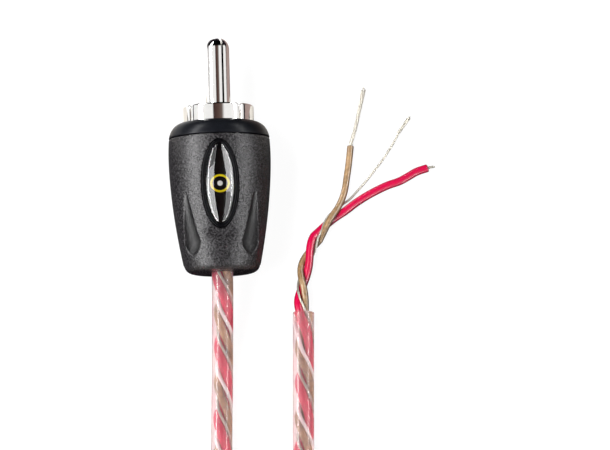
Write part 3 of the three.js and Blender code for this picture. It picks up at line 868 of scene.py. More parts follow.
@dataclass
class Badge:
    """The oval badge: a gloss bezel, a black plate with a plain coaxial sign, and a clear dome."""

    place: PlugPlace
    at: float = 11.05
    half_width: float = 2.46
    half_length: float = 5.8
    slope: float = 4.24
    top: float = 6.22
    depth: float = 1.0
    seam: float = 0.1
    rim_reach: float = 0.02
    bezel_width: float = 0.5
    plate: float = 0.35
    dome_edge: float = 0.4
    dome_rise: float = 0.5
    dome_fullness: float = 2.6
    ring_radius: float = 1.05
    ring_width: float = 0.26
    dot_radius: float = 0.34
    sign_height: float = 0.06
    sign_lift: float = 0.005
    ring_colour: Colour = (0.95, 0.74, 0.01)
    dot_colour: Colour = (0.92, 0.91, 0.88)
    paint_dark: float = 0.92
    broken: float = 0.02
    sides: int = 128

    def world(self, x: np.ndarray, y: np.ndarray, z: np.ndarray) -> np.ndarray:
        """Points of the badge's own plane, whose z = 0 is the bezel's top, in the model's frame."""
        c, s = math.cos(math.radians(self.slope)), math.sin(math.radians(self.slope))
        return self.place.world(x, self.at + y * c - z * s, self.top + y * s + z * c)

    def _oval(self, radius: np.ndarray, along: np.ndarray, angle: np.ndarray) -> np.ndarray:
        """How far out the boot's points lie in the pocket's oval: 1 on its rim, a lot on the underside.

        Args:
            radius: the boot's radii.
            along: their places along the plug.
            angle: their angles from the badge's middle.

        Returns:
            The distances, as shares of the oval.
        """
        across = radius * np.sin(angle) / (self.half_width + self.seam)
        oval = np.hypot(across, (along - self.at) / (self.half_length + self.seam))
        return np.where(np.cos(angle) > 0.0, oval, 9.0)

    def snapped(
        self, radius: np.ndarray, along: np.ndarray, angle: np.ndarray
    ) -> tuple[np.ndarray, np.ndarray]:
        """Draws the skin's points next to the pocket's rim onto it, towards or from the oval's middle.

        Args:
            radius: the boot's radii.
            along: their places along the plug.
            angle: their angles from the badge's middle.

        Returns:
            The new places and angles.
        """
        oval = self._oval(radius, along, angle)
        near = np.abs(oval - 1.0) < self.rim_reach
        pull = np.where(near, 1.0 / oval, 1.0)
        turn = np.arcsin(np.clip(np.sin(angle) * pull, -1.0, 1.0))
        return self.at + (along - self.at) * pull, np.where(near, turn, angle)

    def pocketed(self, radius: np.ndarray, along: np.ndarray, angle: np.ndarray) -> np.ndarray:
        """Sinks the oval pocket into the boot: inside the oval, the skin drops to a sloping floor.

        Args:
            radius: the boot's radii.
            along: their places along the plug.
            angle: their angles from the badge's middle.

        Returns:
            The new radii.
        """
        floor = self.top - self.depth - self.seam + (along - self.at) * math.tan(math.radians(self.slope))
        sunk = np.minimum(radius, floor / np.maximum(np.cos(angle), 0.2))
        return np.where(self._oval(radius, along, angle) < 1.0 - self.rim_reach / 2, sunk, radius)

    def _bezel(self) -> None:
        """The bezel: a squared-off circle carried round the oval along its inward normal."""
        t = round_turn(2 * self.sides)[:, None]
        normal = np.stack([-np.cos(t) / self.half_width, -np.sin(t) / self.half_length], axis=-1)
        normal /= np.linalg.norm(normal, axis=-1, keepdims=True)
        q = round_turn(20)[None]
        half = self.bezel_width / 2
        inset = half - half * squared_off(np.cos(q), 0.7)
        height = self.depth / 2 * (squared_off(np.sin(q), 0.45) - 1.0)
        x = self.half_width * np.cos(t) + normal[..., 0] * inset
        y = self.half_length * np.sin(t) + normal[..., 1] * inset
        obj = Shell().grid(self.world(x, y, height + 0 * t), loop=True).build("bezel", Finish.GLOSS, 50.0)
        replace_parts(obj, "badge_bezel")

    def _ovals(
        self, wide: float, long: float, share: Sequence[float], height: Sequence[float]
    ) -> np.ndarray:
        """Ovals one in another, each a share of the same half width and length, at its own height.

        Args:
            wide: the half width.
            long: the half length.
            share: the share of each oval.
            height: its height over the badge's plane.

        Returns:
            The grid, as ovals by sides by 3.
        """
        t = round_turn(self.sides)[None]
        share, height = np.asarray(share)[:, None], np.asarray(height)[:, None]
        return self.world(wide * share * np.cos(t), long * share * np.sin(t), height + 0 * t)

    def _disc(self, wide: float, long: float, low: float, high: float) -> Shell:
        """A flat oval disc between two heights, with slightly broken edges.

        Args:
            wide: the half width.
            long: the half length.
            low: the underside's height.
            high: the top's height.

        Returns:
            The shell with the disc.
        """
        near, far = self.broken, 1.0 - self.broken
        share = [near, far, 1.0, 1.0, far, near]
        height = [low, low, low + 0.03, high - 0.03, high, high]
        return Shell().grid(self._ovals(wide, long, share, height))

    def _sign(self, low: float) -> None:
        """A plain ring and dot, the sign of a coaxial plug, laid on the plate.

        Args:
            low: the height of the plate's top.
        """
        t, q = round_turn(self.sides)[:, None], round_turn(8)[None]
        half = self.sign_height / 2
        radius = self.ring_radius + self.ring_width / 2 * np.cos(q)
        height = low + half + half * np.sin(q) + 0 * t
        ring = Shell().grid(self.world(radius * np.cos(t), radius * np.sin(t), height), loop=True)
        dot = self._disc(self.dot_radius, self.dot_radius, low, low + self.sign_height)
        for shell, name, colour in (
            (ring, "badge_ring", self.ring_colour),
            (dot, "badge_dot", self.dot_colour),
        ):
            obj = shell.build(name, Finish.GLOSS)
            paint = PALETTE[Finish.GLOSS].copy()
            paint.name = name + "_paint"
            shader = next(n for n in paint.node_tree.nodes if n.type == "BSDF_PRINCIPLED")
            stops = shader.inputs["Base Color"].links[0].from_node.color_ramp.elements
            stops[0].color = (*(c * self.paint_dark for c in colour), 1.0)
            stops[1].color = (*colour, 1.0)
            obj.data.materials[0] = paint

    def make(self) -> None:
        """Builds the bezel, plate, sign and dome."""
        self._bezel()
        wide, long = (half - self.bezel_width - self.seam / 2 for half in (self.half_width, self.half_length))
        top = self.plate - self.depth
        plate = self._disc(wide, long, -self.depth, top)
        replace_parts(plate.build("plate", Finish.GLOSS), "badge_plate")
        self._sign(top + self.sign_lift)
        bottom = top - self.broken
        shoulder = top + self.dome_edge
        share = np.sin(np.linspace(0.02, math.pi / 2, 26))
        rise = (1.0 - share**self.dome_fullness) ** 0.55 * (self.dome_rise - shoulder) + shoulder
        share = [*share, 1.0, 1.0, 0.98, 0.02]
        rise = [*rise, shoulder - 0.1, bottom + 0.04, bottom, bottom]
        dome = Shell().grid(self._ovals(wide, long, share, rise))
        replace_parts(dome.build("dome", Finish.RESIN, 60.0), "badge_dome")


@dataclass
class Cap:
    """The smooth ring in front of the boot, whose shoulder is a quadratic curve to its face."""

    place: PlugPlace
    boot: Boot
    seam: float = 0.1
    length: float = 2.05
    mid_radius: float = 6.3
    mid_share: float = 0.84
    face_radius: float = 5.0
    bore: float = 4.70
    edge: float = 0.1
    sides: int = 160

    def make(self) -> None:
        """Builds the cap."""
        back = self.boot.length + self.seam
        face = back + self.length
        start = np.array([float(self.boot.radius(np.array(self.boot.length))), back + self.edge])
        middle = np.array([self.mid_radius, back + self.length * self.mid_share])
        end = np.array([self.face_radius, face])
        t = np.linspace(0.0, 1.0, 22)[:, None]
        profile = np.concatenate(
            [
                arc(start[0] - self.edge, back + self.edge, self.edge, -90.0, -15.0, 4),
                (1 - t) ** 2 * start + 2 * t * (1 - t) * middle + t**2 * end,
                straight((self.face_radius - 0.08, face), (self.bore + self.edge, face), 2),
                arc(self.bore + self.edge, face - self.edge, self.edge, 90.0, 180.0, 4),
                straight((self.bore, face - 0.4), (self.bore, back), 3),
                straight((self.bore, back), (start[0] - 0.3, back), 3),
            ]
        )
        obj = Shell().grid(self.place.turned(profile, self.sides), loop=True).build("cap_ring", Finish.SMOOTH)
        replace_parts(obj, "front_cap")


@dataclass
class Collar:
    """The spring collar: four rounded petals on a barrel, with the ground lug and crimp ring behind."""

    place: PlugPlace
    rim: float = 22.0
    back: float = 12.5
    radius: float = 4.63
    wall: float = 0.45
    slots: int = 4
    slot_width: float = 0.27
    slot_length: float = 5.2
    slot_turn: float = 38.0
    corner: float = 0.5
    lug_width: float = 1.6
    lug_thickness: float = 0.4
    lug_reach: float = 2.5
    lug_back: float = 0.75
    crimp_radius: float = 1.55
    crimp_wall: float = 0.4
    crimp_from: float = 3.4
    crimp_length: float = 1.8
    sides: int = 96

    def _petal(self, shell: Shell, start: float) -> None:
        """Adds one petal: a rounded wall section carried round an arc, lower near the petal's corners.

        Args:
            shell: the shell to add to.
            start: the angle where the petal begins.
        """
        middle = self.radius - self.wall / 2
        gap = self.slot_width / middle
        width = TURN / self.slots - gap
        share = 0.5 - 0.5 * np.cos(np.linspace(0.0, math.pi, 49))
        turn = start + gap / 2 + share * width
        near = np.minimum(share, 1.0 - share) * width * middle
        inside = np.maximum(0.0, self.corner - near)
        drop = self.corner - np.sqrt(np.maximum(0.0, self.corner**2 - inside**2))
        base = self.rim - self.slot_length
        q = np.linspace(0.0, math.pi, 9)
        half = self.wall / 2
        section_radius = np.concatenate([[self.radius], middle + half * np.cos(q), [middle - half]])
        lift = np.concatenate([[0.0], half * np.sin(q), [0.0]])
        top = (self.rim - half - drop)[:, None] + lift[None]
        top[:, 0] = base
        top[:, -1] = base
        shell.grid(self.place.polar(section_radius[None], top, turn[:, None]))

    def _strip(self, shell: Shell) -> None:
        """Adds the lug: a flat strip bent in from the barrel to the crimp ring.

        Args:
            shell: the shell to add to.
        """
        outer = self.radius - self.wall / 2
        ring = self.crimp_radius + self.crimp_wall / 2
        bend = self.crimp_from + self.crimp_length
        step = self.back - self.lug_back + self.lug_thickness / 2
        run = self.lug_reach + self.lug_thickness / 2
        route = (
            (outer, self.back + 0.3),
            (outer, step + 0.2),
            (outer - 0.2, step),
            (run + 0.2, step),
            (run, step - 0.2),
            (run, bend + 1.0),
            (ring, bend - 0.2),
            (ring, self.crimp_from + 0.1),
        )
        line = np.array(route) * (-1.0, 1.0)
        direction = np.gradient(line, axis=0)
        direction /= np.linalg.norm(direction, axis=1, keepdims=True)
        normal = np.stack([-direction[:, 1], direction[:, 0]], axis=1)
        half, wide = self.lug_thickness / 2, self.lug_width / 2
        across = np.array([half, half, -half, -half])
        height = np.array([-wide, wide, wide, -wide])
        at = line[:, None] + normal[:, None] * across[None, :, None]
        shell.grid(self.place.world(at[..., 0], at[..., 1], height[None] + 0 * at[..., 0]))

    def _ring(self, shell: Shell, inner: float, outer: float, low: float, high: float, sides: int) -> None:
        """Adds a plain round ring between two radii and two places along."""
        profile = [(inner, low), (outer, low), (outer, high), (inner, high)]
        shell.grid(self.place.turned(profile, sides), loop=True)

    def make(self) -> None:
        """Builds the collar."""
        shell = Shell()
        for i in range(self.slots):
            self._petal(shell, math.radians(self.slot_turn + 360.0 * i / self.slots))
        base = self.rim - self.slot_length + 0.02
        self._ring(shell, self.radius - self.wall, self.radius, self.back, base, self.sides)
        self._strip(shell)
        thick = self.crimp_radius + self.crimp_wall
        end = self.crimp_from + self.crimp_length
        self._ring(shell, self.crimp_radius, thick, self.crimp_from, end, self.sides // 2)
        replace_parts(shell.build("spring_collar", Finish.NICKEL), "ground_collar")


@dataclass
class Pin:
    """The split centre pin: two half-round prongs with bullet noses on a turned shank."""

    place: PlugPlace
    tip: float = 31.05
    radius: float = 1.6
    nose: float = 1.45
    nose_flat: float = 0.3
    slit: float = 0.28
    slit_length: float = 12.5
    slit_turn: float = 26.0
    slit_flare: float = 0.1
    slit_flare_length: float = 0.6
    seat: float = 15.0
    shank: float = 1.1
    tail: float = 9.8
    cup: float = 0.65
    cup_depth: float = 1.8
    middle: float = 0.01
    sides: int = 64

    def _prong(self, shell: Shell, side: float) -> None:
        """Adds one prong: half circles closed by the slit's flat wall, shrinking over the nose.

        Args:
            shell: the shell to add to.
            side: 1 or -1, the side of the slit.
        """
        turn = np.linspace(0.0, math.pi / 2, 14)
        nose = self.nose_flat + (self.radius - self.nose_flat) * np.cos(turn)
        radius = np.concatenate([np.full(3, self.radius), nose])
        start, root = self.tip - self.slit_length, self.tip - self.nose
        along = np.concatenate([np.linspace(start, root - 0.2, 3), root + self.nose * np.sin(turn)])
        flare = np.clip(1.0 - (self.tip - along) / self.slit_flare_length, 0.0, 1.0)
        half = self.slit / 2 + self.slit_flare * flare**2
        low = np.arcsin(half / radius)
        share = np.linspace(0.0, 1.0, 33)[None]
        angle = low[:, None] + (math.pi - 2 * low[:, None]) * share
        a = radius[:, None] * np.cos(angle)
        b = radius[:, None] * np.sin(angle)
        a = np.concatenate([a, a[:, -1:] * 0.5, 0 * a[:, :1], a[:, :1] * 0.5], axis=1)
        b = np.concatenate([b, np.repeat(half[:, None], 3, axis=1)], axis=1) * side
        c, s = math.cos(math.radians(self.slit_turn)), math.sin(math.radians(self.slit_turn))
        shell.grid(self.place.world(a * s + b * c, along[:, None] + 0 * a, a * c - b * s))

    def make(self) -> None:
        """Builds the pin."""
        shell = Shell()
        for side in (1.0, -1.0):
            self._prong(shell, side)
        top = self.tip - self.slit_length + 0.02
        floor = self.tail + self.cup_depth
        radii = np.repeat((self.radius, self.shank, self.cup), 2)
        places = (top, top, self.seat, self.seat, self.tail, self.tail, floor, floor)
        profile = np.stack([[self.middle, *radii, self.middle], places], axis=1)
        shell.grid(self.place.turned(profile, self.sides))
        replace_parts(shell.build("split_pin", Finish.NICKEL), "center_pin")


@dataclass
class PlugInside:
    """The insulator, and the hidden pieces that keep their solids and get their finish."""

    place: PlugPlace
    nodes: dict
    face: float = 15.5
    length: float = 3.3
    outer: float = 4.06
    bore: float = 1.2
    seat: float = 1.72
    seat_depth: float = 0.6
    edge: float = 0.12
    sides: int = 96
    kept: tuple[tuple[str, Finish], ...] = (
        ("inner_sleeve", Finish.SLEEVE),
        ("pin_solder", Finish.SOLDER),
        ("ground_solder", Finish.SOLDER),
        ("red_wire_in_plug", Finish.RED),
        ("brown_wire_in_plug", Finish.BROWN),
        ("drain_wire_in_plug", Finish.TINNED),
    )

    def make(self) -> None:
        """Builds the insulator, a turned disc with the pin's seat, and dresses the kept nodes."""
        low, high, e = self.face - self.length, self.face, self.edge
        profile = np.concatenate(
            [
                [(self.bore, low), (self.outer, low)],
                arc(self.outer - e, high - e, e, 0.0, 90.0, 5),
                [(self.seat, high), (self.seat, high - self.seat_depth), (self.bore, high - self.seat_depth)],
            ]
        )
        shell = Shell().grid(self.place.turned(profile, self.sides), loop=True)
        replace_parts(shell.build("insulator_disc", Finish.INSULATOR), "pin_insulator")
        for name, slot in self.kept:
            put_on(self.nodes[name], slot)
            LOG.info("%s: kept as its solid", name)


# Cable


@dataclass
class Coil:
    """The unseen length as a neat coil: two flat spirals, one on the other, wound in and out again."""

    x: float = 4.7
    y: float = -69.2
    mean_radius: float = 15.26
    half_span: float = 6.3
    layer: float = 2.8
    floor: float = 1.4
    turns: int = 8
    tie_turn: float = 270.0
    tie_lift: float = 0.55
    tie_reach: float = 5.0
    climb_turns: float = 0.24
    turn_points: int = 96
    arc_points: int = 40

    def path(self, start: np.ndarray, end: np.ndarray) -> np.ndarray:
        """The cable's line from one straight run into the coil, round it, and out to the other.

        Each run bends away on an arc that touches the outer turn. The turns' radius shrinks evenly
        to the inner turn, the line climbs a layer there, and the radius grows back.

        Args:
            start: where the run from the plug stops being straight, heading along -Y.
            end: where the run to the bare end becomes straight, heading along +Y.

        Returns:
            The line's points in millimetres.
        """
        outer = self.mean_radius + self.half_span
        lead_in, enter = self._arc(start, -1.0, outer)
        lead_out, leave = self._arc(end, 1.0, outer)
        total = self.turns + ((leave - enter) / TURN) % 1.0
        t = np.linspace(0.0, total, int(total * self.turn_points))
        inward = np.minimum(t, total - t) / (total / 2)
        radius = outer - 2 * self.half_span * inward
        climb = eased_step((t - total / 2) / self.climb_turns + 0.5)
        angle = enter + TURN * t
        off = (angle - math.radians(self.tie_turn) + math.pi) % TURN - math.pi
        lift = self.tie_lift * np.exp(-((off * radius / self.tie_reach) ** 2))
        height = self.floor + self.layer * climb + lift
        spiral = np.stack([self.x + radius * np.cos(angle), self.y + radius * np.sin(angle), height], axis=1)
        lead_out[:, 2] = end[2] + self.layer * eased_step(np.linspace(0.0, 1.0, len(lead_out)))
        return np.concatenate([lead_in, spiral[1:-1], lead_out[::-1]])

    def _arc(self, foot: np.ndarray, side: float, outer: float) -> tuple[np.ndarray, float]:
        """The arc from a straight run's foot to the outer turn, and the angle where it meets it.

        Args:
            foot: the end of the straight run.
            side: -1 if the arc bends towards -X, 1 towards +X.
            outer: the outer turn's radius.

        Returns:
            The arc's points from the foot on, and the meeting angle round the coil.
        """
        across = side * (foot[0] - self.x)
        down = foot[1] - self.y
        bend = (down**2 + across**2 - outer**2) / (2 * (outer - across))
        t = np.linspace(0.0, math.atan2(down, across + bend), self.arc_points)
        x = foot[0] + side * bend - side * bend * np.cos(t)
        points = np.stack([x, foot[1] - bend * np.sin(t), np.full(len(t), foot[2])], axis=1)
        return points, math.atan2(down, side * (across + bend))


@dataclass
class Cable:
    """The jacketed lead with its two laid cores and drain wire, from the crimp to the bare tips."""

    place: PlugPlace
    coil: Coil
    radius: float = 1.4
    in_plug: float = 5.6
    red: float = 0.54
    brown: float = 0.435
    drain: float = 0.15
    filler: float = 0.2
    core_gap: float = 0.02
    valley: float = 0.64
    free_lay: float = 9.6
    mouth_lay: float = 9.3
    coil_lay: float = 9.6
    plug_lay: float = 9.55
    mouth_turn: float = 160.0
    loose_turn: float = 130.0
    loose_run: float = 5.25
    plug_turn: float = 115.0
    mouth_run: float = 24.0
    plug_run: float = 36.0
    swap_length: float = 60.0
    lean: float = 0.22
    mouth_lean: float = -0.15
    lean_length: float = 4.0
    lean_fade: float = 12.0
    lean_past: float = 3.0
    blend_points: int = 9
    jacket_step: float = 0.8
    jacket_bevel: float = 0.12
    jacket_sides: int = 28
    core_bevel: float = 0.3
    core_sides: int = 12
    tip_step: float = 0.18
    strands: int = 7
    strap_room: float = 0.35
    strap_low: float = 0.25
    strap_corner: float = 1.3
    strap_thick: float = 0.42
    strap_wide: float = 3.5
    step: float = 0.42
    # Listed routes: the two runs, and the bare end's wires as the photograph shows them.
    from_plug: Points = (
        (-0.03, -18.0, 5.55), (-0.1, -20.6, 4.5), (-0.2, -23.4, 2.9),
        (-0.28, -26.4, 1.75), (-0.38, -29.5, 1.42), (-0.55, -34.0, 1.4),
        (-0.68, -38.5, 1.4), (-0.75, -41.5, 1.4),
    )
    to_bare_end: Points = (
        (9.98, -41.5, 1.4), (10.05, -38.5, 1.4), (10.2, -32.0, 1.4),
        (10.35, -26.0, 1.4), (10.51, -20.1, 1.4),
    )
    core_line: Points = (
        (10.51, -20.1, 1.4), (10.38, -18.4, 1.3), (10.52, -16.4, 1.15),
        (10.86, -14.1, 1.07), (11.46, -12.0, 1.07), (12.27, -10.4, 1.07),
        (13.45, -8.95, 1.07), (14.6, -7.6, 1.07),
    )
    red_tail: Points = (
        (16.4, -6.55, 0.7), (17.8, -5.5, 0.58), (19.25, -4.6, 0.55),
        (20.7, -3.85, 0.55), (22.1, -3.24, 0.55), (23.6, -2.75, 0.55),
        (24.75, -2.15, 0.55), (25.9, -1.52, 0.55), (27.4, -1.05, 0.55),
    )
    red_tip: Points = (
        (27.4, -1.05, 0.55), (28.0, -0.9, 0.5), (28.3, -0.83, 0.42),
    )
    brown_tail: Points = (
        (15.4, -6.2, 1.25), (16.05, -4.8, 0.8), (16.4, -3.6, 0.52),
        (16.65, -2.15, 0.45), (16.9, -0.7, 0.45), (17.1, 0.75, 0.45),
        (17.28, 2.2, 0.45),
    )
    brown_tip: Points = (
        (17.2, 1.7, 0.45), (17.36, 2.6, 0.4), (17.88, 4.26, 0.3),
        (18.28, 5.84, 0.27), (18.77, 7.87, 0.27), (19.24, 9.96, 0.27),
    )
    drain_tail: Points = (
        (15.3, -6.35, 0.45), (16.0, -5.65, 0.4), (16.95, -4.97, 0.3),
        (18.12, -3.72, 0.2), (19.28, -2.45, 0.17), (20.32, -1.16, 0.17),
        (21.35, 0.11, 0.17), (22.24, 1.4, 0.17), (23.13, 2.82, 0.2),
        (23.7, 3.9, 0.25),
    )
    drain_tip: Points = (
        (23.6, 3.75, 0.25), (24.48, 4.96, 0.26), (25.21, 5.96, 0.26),
    )

    def lead_line(self) -> np.ndarray:
        """The jacket's centreline from the crimp to its cut mouth, in millimetres.

        Returns:
            The line's points.
        """
        inside = [self.place.world(0.0, a, 0.0) / MM for a in (self.in_plug, self.in_plug / 2, 0.0)]
        first = through([*inside, *self.from_plug])
        last = through(self.to_bare_end)
        coiled = self.coil.path(first[-1], last[0])
        line = np.concatenate([first[:-1], coiled, last[1:]])
        return eased(respaced(line, self.step), 4)

    def turns(self, run: np.ndarray, mouth: float) -> np.ndarray:
        """How many turns the pair has made at each distance along the lead.

        The turns rise evenly on the stretch by the plug, in the coil, by the mouth and beyond it,
        each with its own lay. The coil's lay is the nearest that joins the two ends' places.

        Args:
            run: distances from the lead's start in the plug.
            mouth: the distance of the jacket's mouth.

        Returns:
            The turns, as fractions.
        """
        left = self.plug_turn / 360.0 + self.plug_run / self.plug_lay
        laid = self.loose_turn / 360.0 + (self.mouth_run - self.loose_run) / self.mouth_lay
        right = self.mouth_turn / 360.0 - laid
        between = (mouth - self.mouth_run - self.plug_run) / self.coil_lay
        right += round(left + between - right)
        end = right + laid
        knots = (0.0, self.plug_run, mouth - self.mouth_run, mouth - self.loose_run, mouth, mouth + 100.0)
        loose = end - self.loose_turn / 360.0
        places = (self.plug_turn / 360.0, left, right, loose, end, end + 100.0 / self.free_lay)
        return np.interp(run, knots, places)

    def core(self, lead: np.ndarray, reach: float, turn: float, tail: Points, over: float) -> np.ndarray:
        """One core's line: a left-handed helix round the lead, on past the mouth, then its free tail.

        The pair leans to the jacket's right-hand wall in the two runs. A thread that lies in a valley
        between the cores climbs over them once in the coil, where it makes half a turn more.

        Args:
            lead: the jacket's centreline.
            reach: the core's distance from the pair's middle line.
            turn: degrees to turn it from the red core's place at the plug.
            tail: the given points past the laid stretch, none for a thread cut at the mouth.
            over: how much further out a thread lies while it climbs over the cores.

        Returns:
            The core's centreline.
        """
        mouth = float(run_of(lead)[-1])
        line = lead
        if len(tail):
            free = respaced(through(self.core_line), self.step)
            line = eased(np.concatenate([lead[:-1], free]), 3)
        run = run_of(line)
        angle = TURN * self.turns(run, mouth) + math.radians(turn)
        if over:
            crossing = (run - mouth / 2) / self.swap_length + 0.5
            angle = angle + math.pi * eased_step(crossing)
            reach = reach + over * np.sin(math.pi * np.clip(crossing, 0.0, 1.0)) ** 0.5
        straight_part = 1.0 - eased_step((run - self.plug_run) / self.lean_fade)
        straight_part = straight_part + eased_step((run - mouth + self.mouth_run) / self.lean_fade)
        start = eased_step((run - self.in_plug) / self.lean_length)
        end = eased_step((mouth - run) / self.lean_length)
        aside = straight_part * start * (self.mouth_lean + (self.lean - self.mouth_lean) * end)
        aside = aside * eased_step((mouth + self.lean_past - run) / self.lean_past)
        laid = wound(line, reach, angle)
        laid[:, 0] += aside
        if not len(tail):
            return laid
        kept = len(laid) - self.blend_points
        end_line = through([laid[kept], laid[-1], *tail])
        return np.concatenate([laid[:kept], respaced(end_line, self.step)])

    def _strands(
        self, name: str, tip: Points, strand: float, spread: float, flare: float
    ) -> bpy.types.Object:
        """A bare tip: seven fine strands, six of them laid round the first, opening at the end.

        Args:
            name: the piece's name.
            tip: the points that the bundle follows.
            strand: one strand's radius.
            spread: the ring of six's radius at the root.
            flare: the ring's radius at the very end.

        Returns:
            The new object.
        """
        line = respaced(through(tip), self.tip_step)
        run = run_of(line)
        share = eased_step((run / run[-1] - 0.55) / 0.45)
        shell = Shell()
        for i in range(self.strands):
            ring = 0.0 if i == 0 else 1.0
            reach = ring * (spread + (flare - spread) * share * (1.0 + 0.35 * math.sin(2.4 * i)))
            angle = i * TURN / 6 + run * 1.1 + 0.15 * np.sin(run * 2.1 + i)
            at = wound(line, reach, angle)
            at[:, 2] = np.maximum(at[:, 2], strand)
            short = len(at) - (i * 2) % 5
            shell.grid(tube_grid(at[:short], strand, 8) * MM)
        return shell.build(name, Finish.TINNED, 60.0)

    def make(self) -> None:
        lead = self.lead_line()
        exit_point = self.place.world(0.0, 0.0, 0.0)
        coarse = respaced(lead, self.jacket_step)
        line, radius = rounded_ends(coarse, self.radius, self.jacket_bevel)
        jacket = Shell().grid(tube_grid(line, radius, self.jacket_sides) * MM)
        jacket_obj = jacket.build("clear_jacket", Finish.JACKET, 50.0)
        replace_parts(jacket_obj, "lead_from_plug", "lead_coil", "lead_to_bare_end")
        pair = self.red + self.brown + self.core_gap
        red_reach = pair * self.brown / (self.red + self.brown)
        pair_rest = pair - red_reach
        crest = red_reach + self.red + self.drain + self.core_gap - self.valley
        tips = {
            "red_wire": self._strands("red_bare_strands", self.red_tip, 0.06, 0.11, 0.14),
            "brown_wire": self._strands("brown_bare_strands", self.brown_tip, 0.085, 0.16, 0.215),
            "drain_strand": self._strands("drain_bare_end", self.drain_tip, 0.08, 0.14, 0.17),
        }
        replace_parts(tips["red_wire"], "red_strands")
        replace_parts(tips["brown_wire"], "brown_strands")
        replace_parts(tips["drain_strand"], "drain_tip")
        low = self.valley
        cores = (
            ("red_wire", Finish.RED, self.red, red_reach, 0.0, self.red_tail, 0.0, ("red_core",)),
            ("brown_wire", Finish.BROWN, self.brown, pair_rest, 180.0, self.brown_tail, 0.0, ("brown_core",)),
            ("drain_strand", Finish.TINNED, self.drain, low, 90.0, self.drain_tail, crest, ("drain_wire",)),
            ("filler_thread", Finish.FILLER, self.filler, low + 0.04, -90.0, (), crest + 0.02, ()),
        )
        for name, slot, size, reach, turn, tail, over, nodes in cores:
            at = self.core(lead, reach, turn, tail, over)
            line, radius = rounded_ends(at, size, self.core_bevel * size)
            obj = Shell().grid(tube_grid(line, radius, self.core_sides) * MM).build(name, slot, 60.0)
            if nodes:
                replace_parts(obj, *nodes)
            tuple(exit_point)
        tuple(exit_point)
        self.tie()

    def tie(self) -> bpy.types.Object:
        """The strap round the coil: a flat band carried round the coil's section, its end lapped on top.

        Returns:
            The strap's object.
        """
        coil = self.coil
        half = coil.half_span + self.radius + self.strap_room
        low, high = self.strap_low, 2 * coil.layer + coil.tie_lift + 0.3
        corner, thick, wide = self.strap_corner, self.strap_thick, self.strap_wide
        t, q = round_turn(96), round_turn(20)
        reach = (half - corner, (high - low) / 2 - corner)
        sides = [
            np.sign(wave) * size * np.minimum(1.0, 2.2 * np.abs(wave)) + corner * wave
            for wave, size in zip((np.cos(t), np.sin(t)), reach)
        ]
        loop = np.stack(sides, axis=1) + (0.0, (high + low) / 2)
        lap = np.stack([np.linspace(-3.0, 4.5, 24), np.full(24, high + thick)], axis=1)
        lap[:4, 1] -= (0.30, 0.18, 0.08, 0.02)
        out = thick / 2 * squared_off(np.sin(q), 0.5)
        across = wide / 2 * squared_off(np.cos(q), 0.25)[None]
        turn = math.radians(coil.tie_turn)
        shell = Shell()
        for line, closed in ((loop, True), (lap, False)):
            if closed:
                ahead = np.roll(line, -1, axis=0) - np.roll(line, 1, axis=0)
            else:
                ahead = np.gradient(line, axis=0)
            ahead /= np.linalg.norm(ahead, axis=1, keepdims=True)
            normal = np.stack([ahead[:, 1], -ahead[:, 0]], axis=1)
            at = line[:, None] + normal[:, None] * out[None, :, None]
            radial = coil.mean_radius + at[..., 0]
            x = coil.x + radial * math.cos(turn) - across * math.sin(turn)
            y = coil.y + radial * math.sin(turn) + across * math.cos(turn)
            shell.grid(np.stack([x, y, at[..., 1]], axis=-1) * MM, loop=closed)
        obj = shell.build("coil_strap", Finish.TIE, 60.0)
        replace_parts(obj, "coil_tie")
        return obj


# Studio


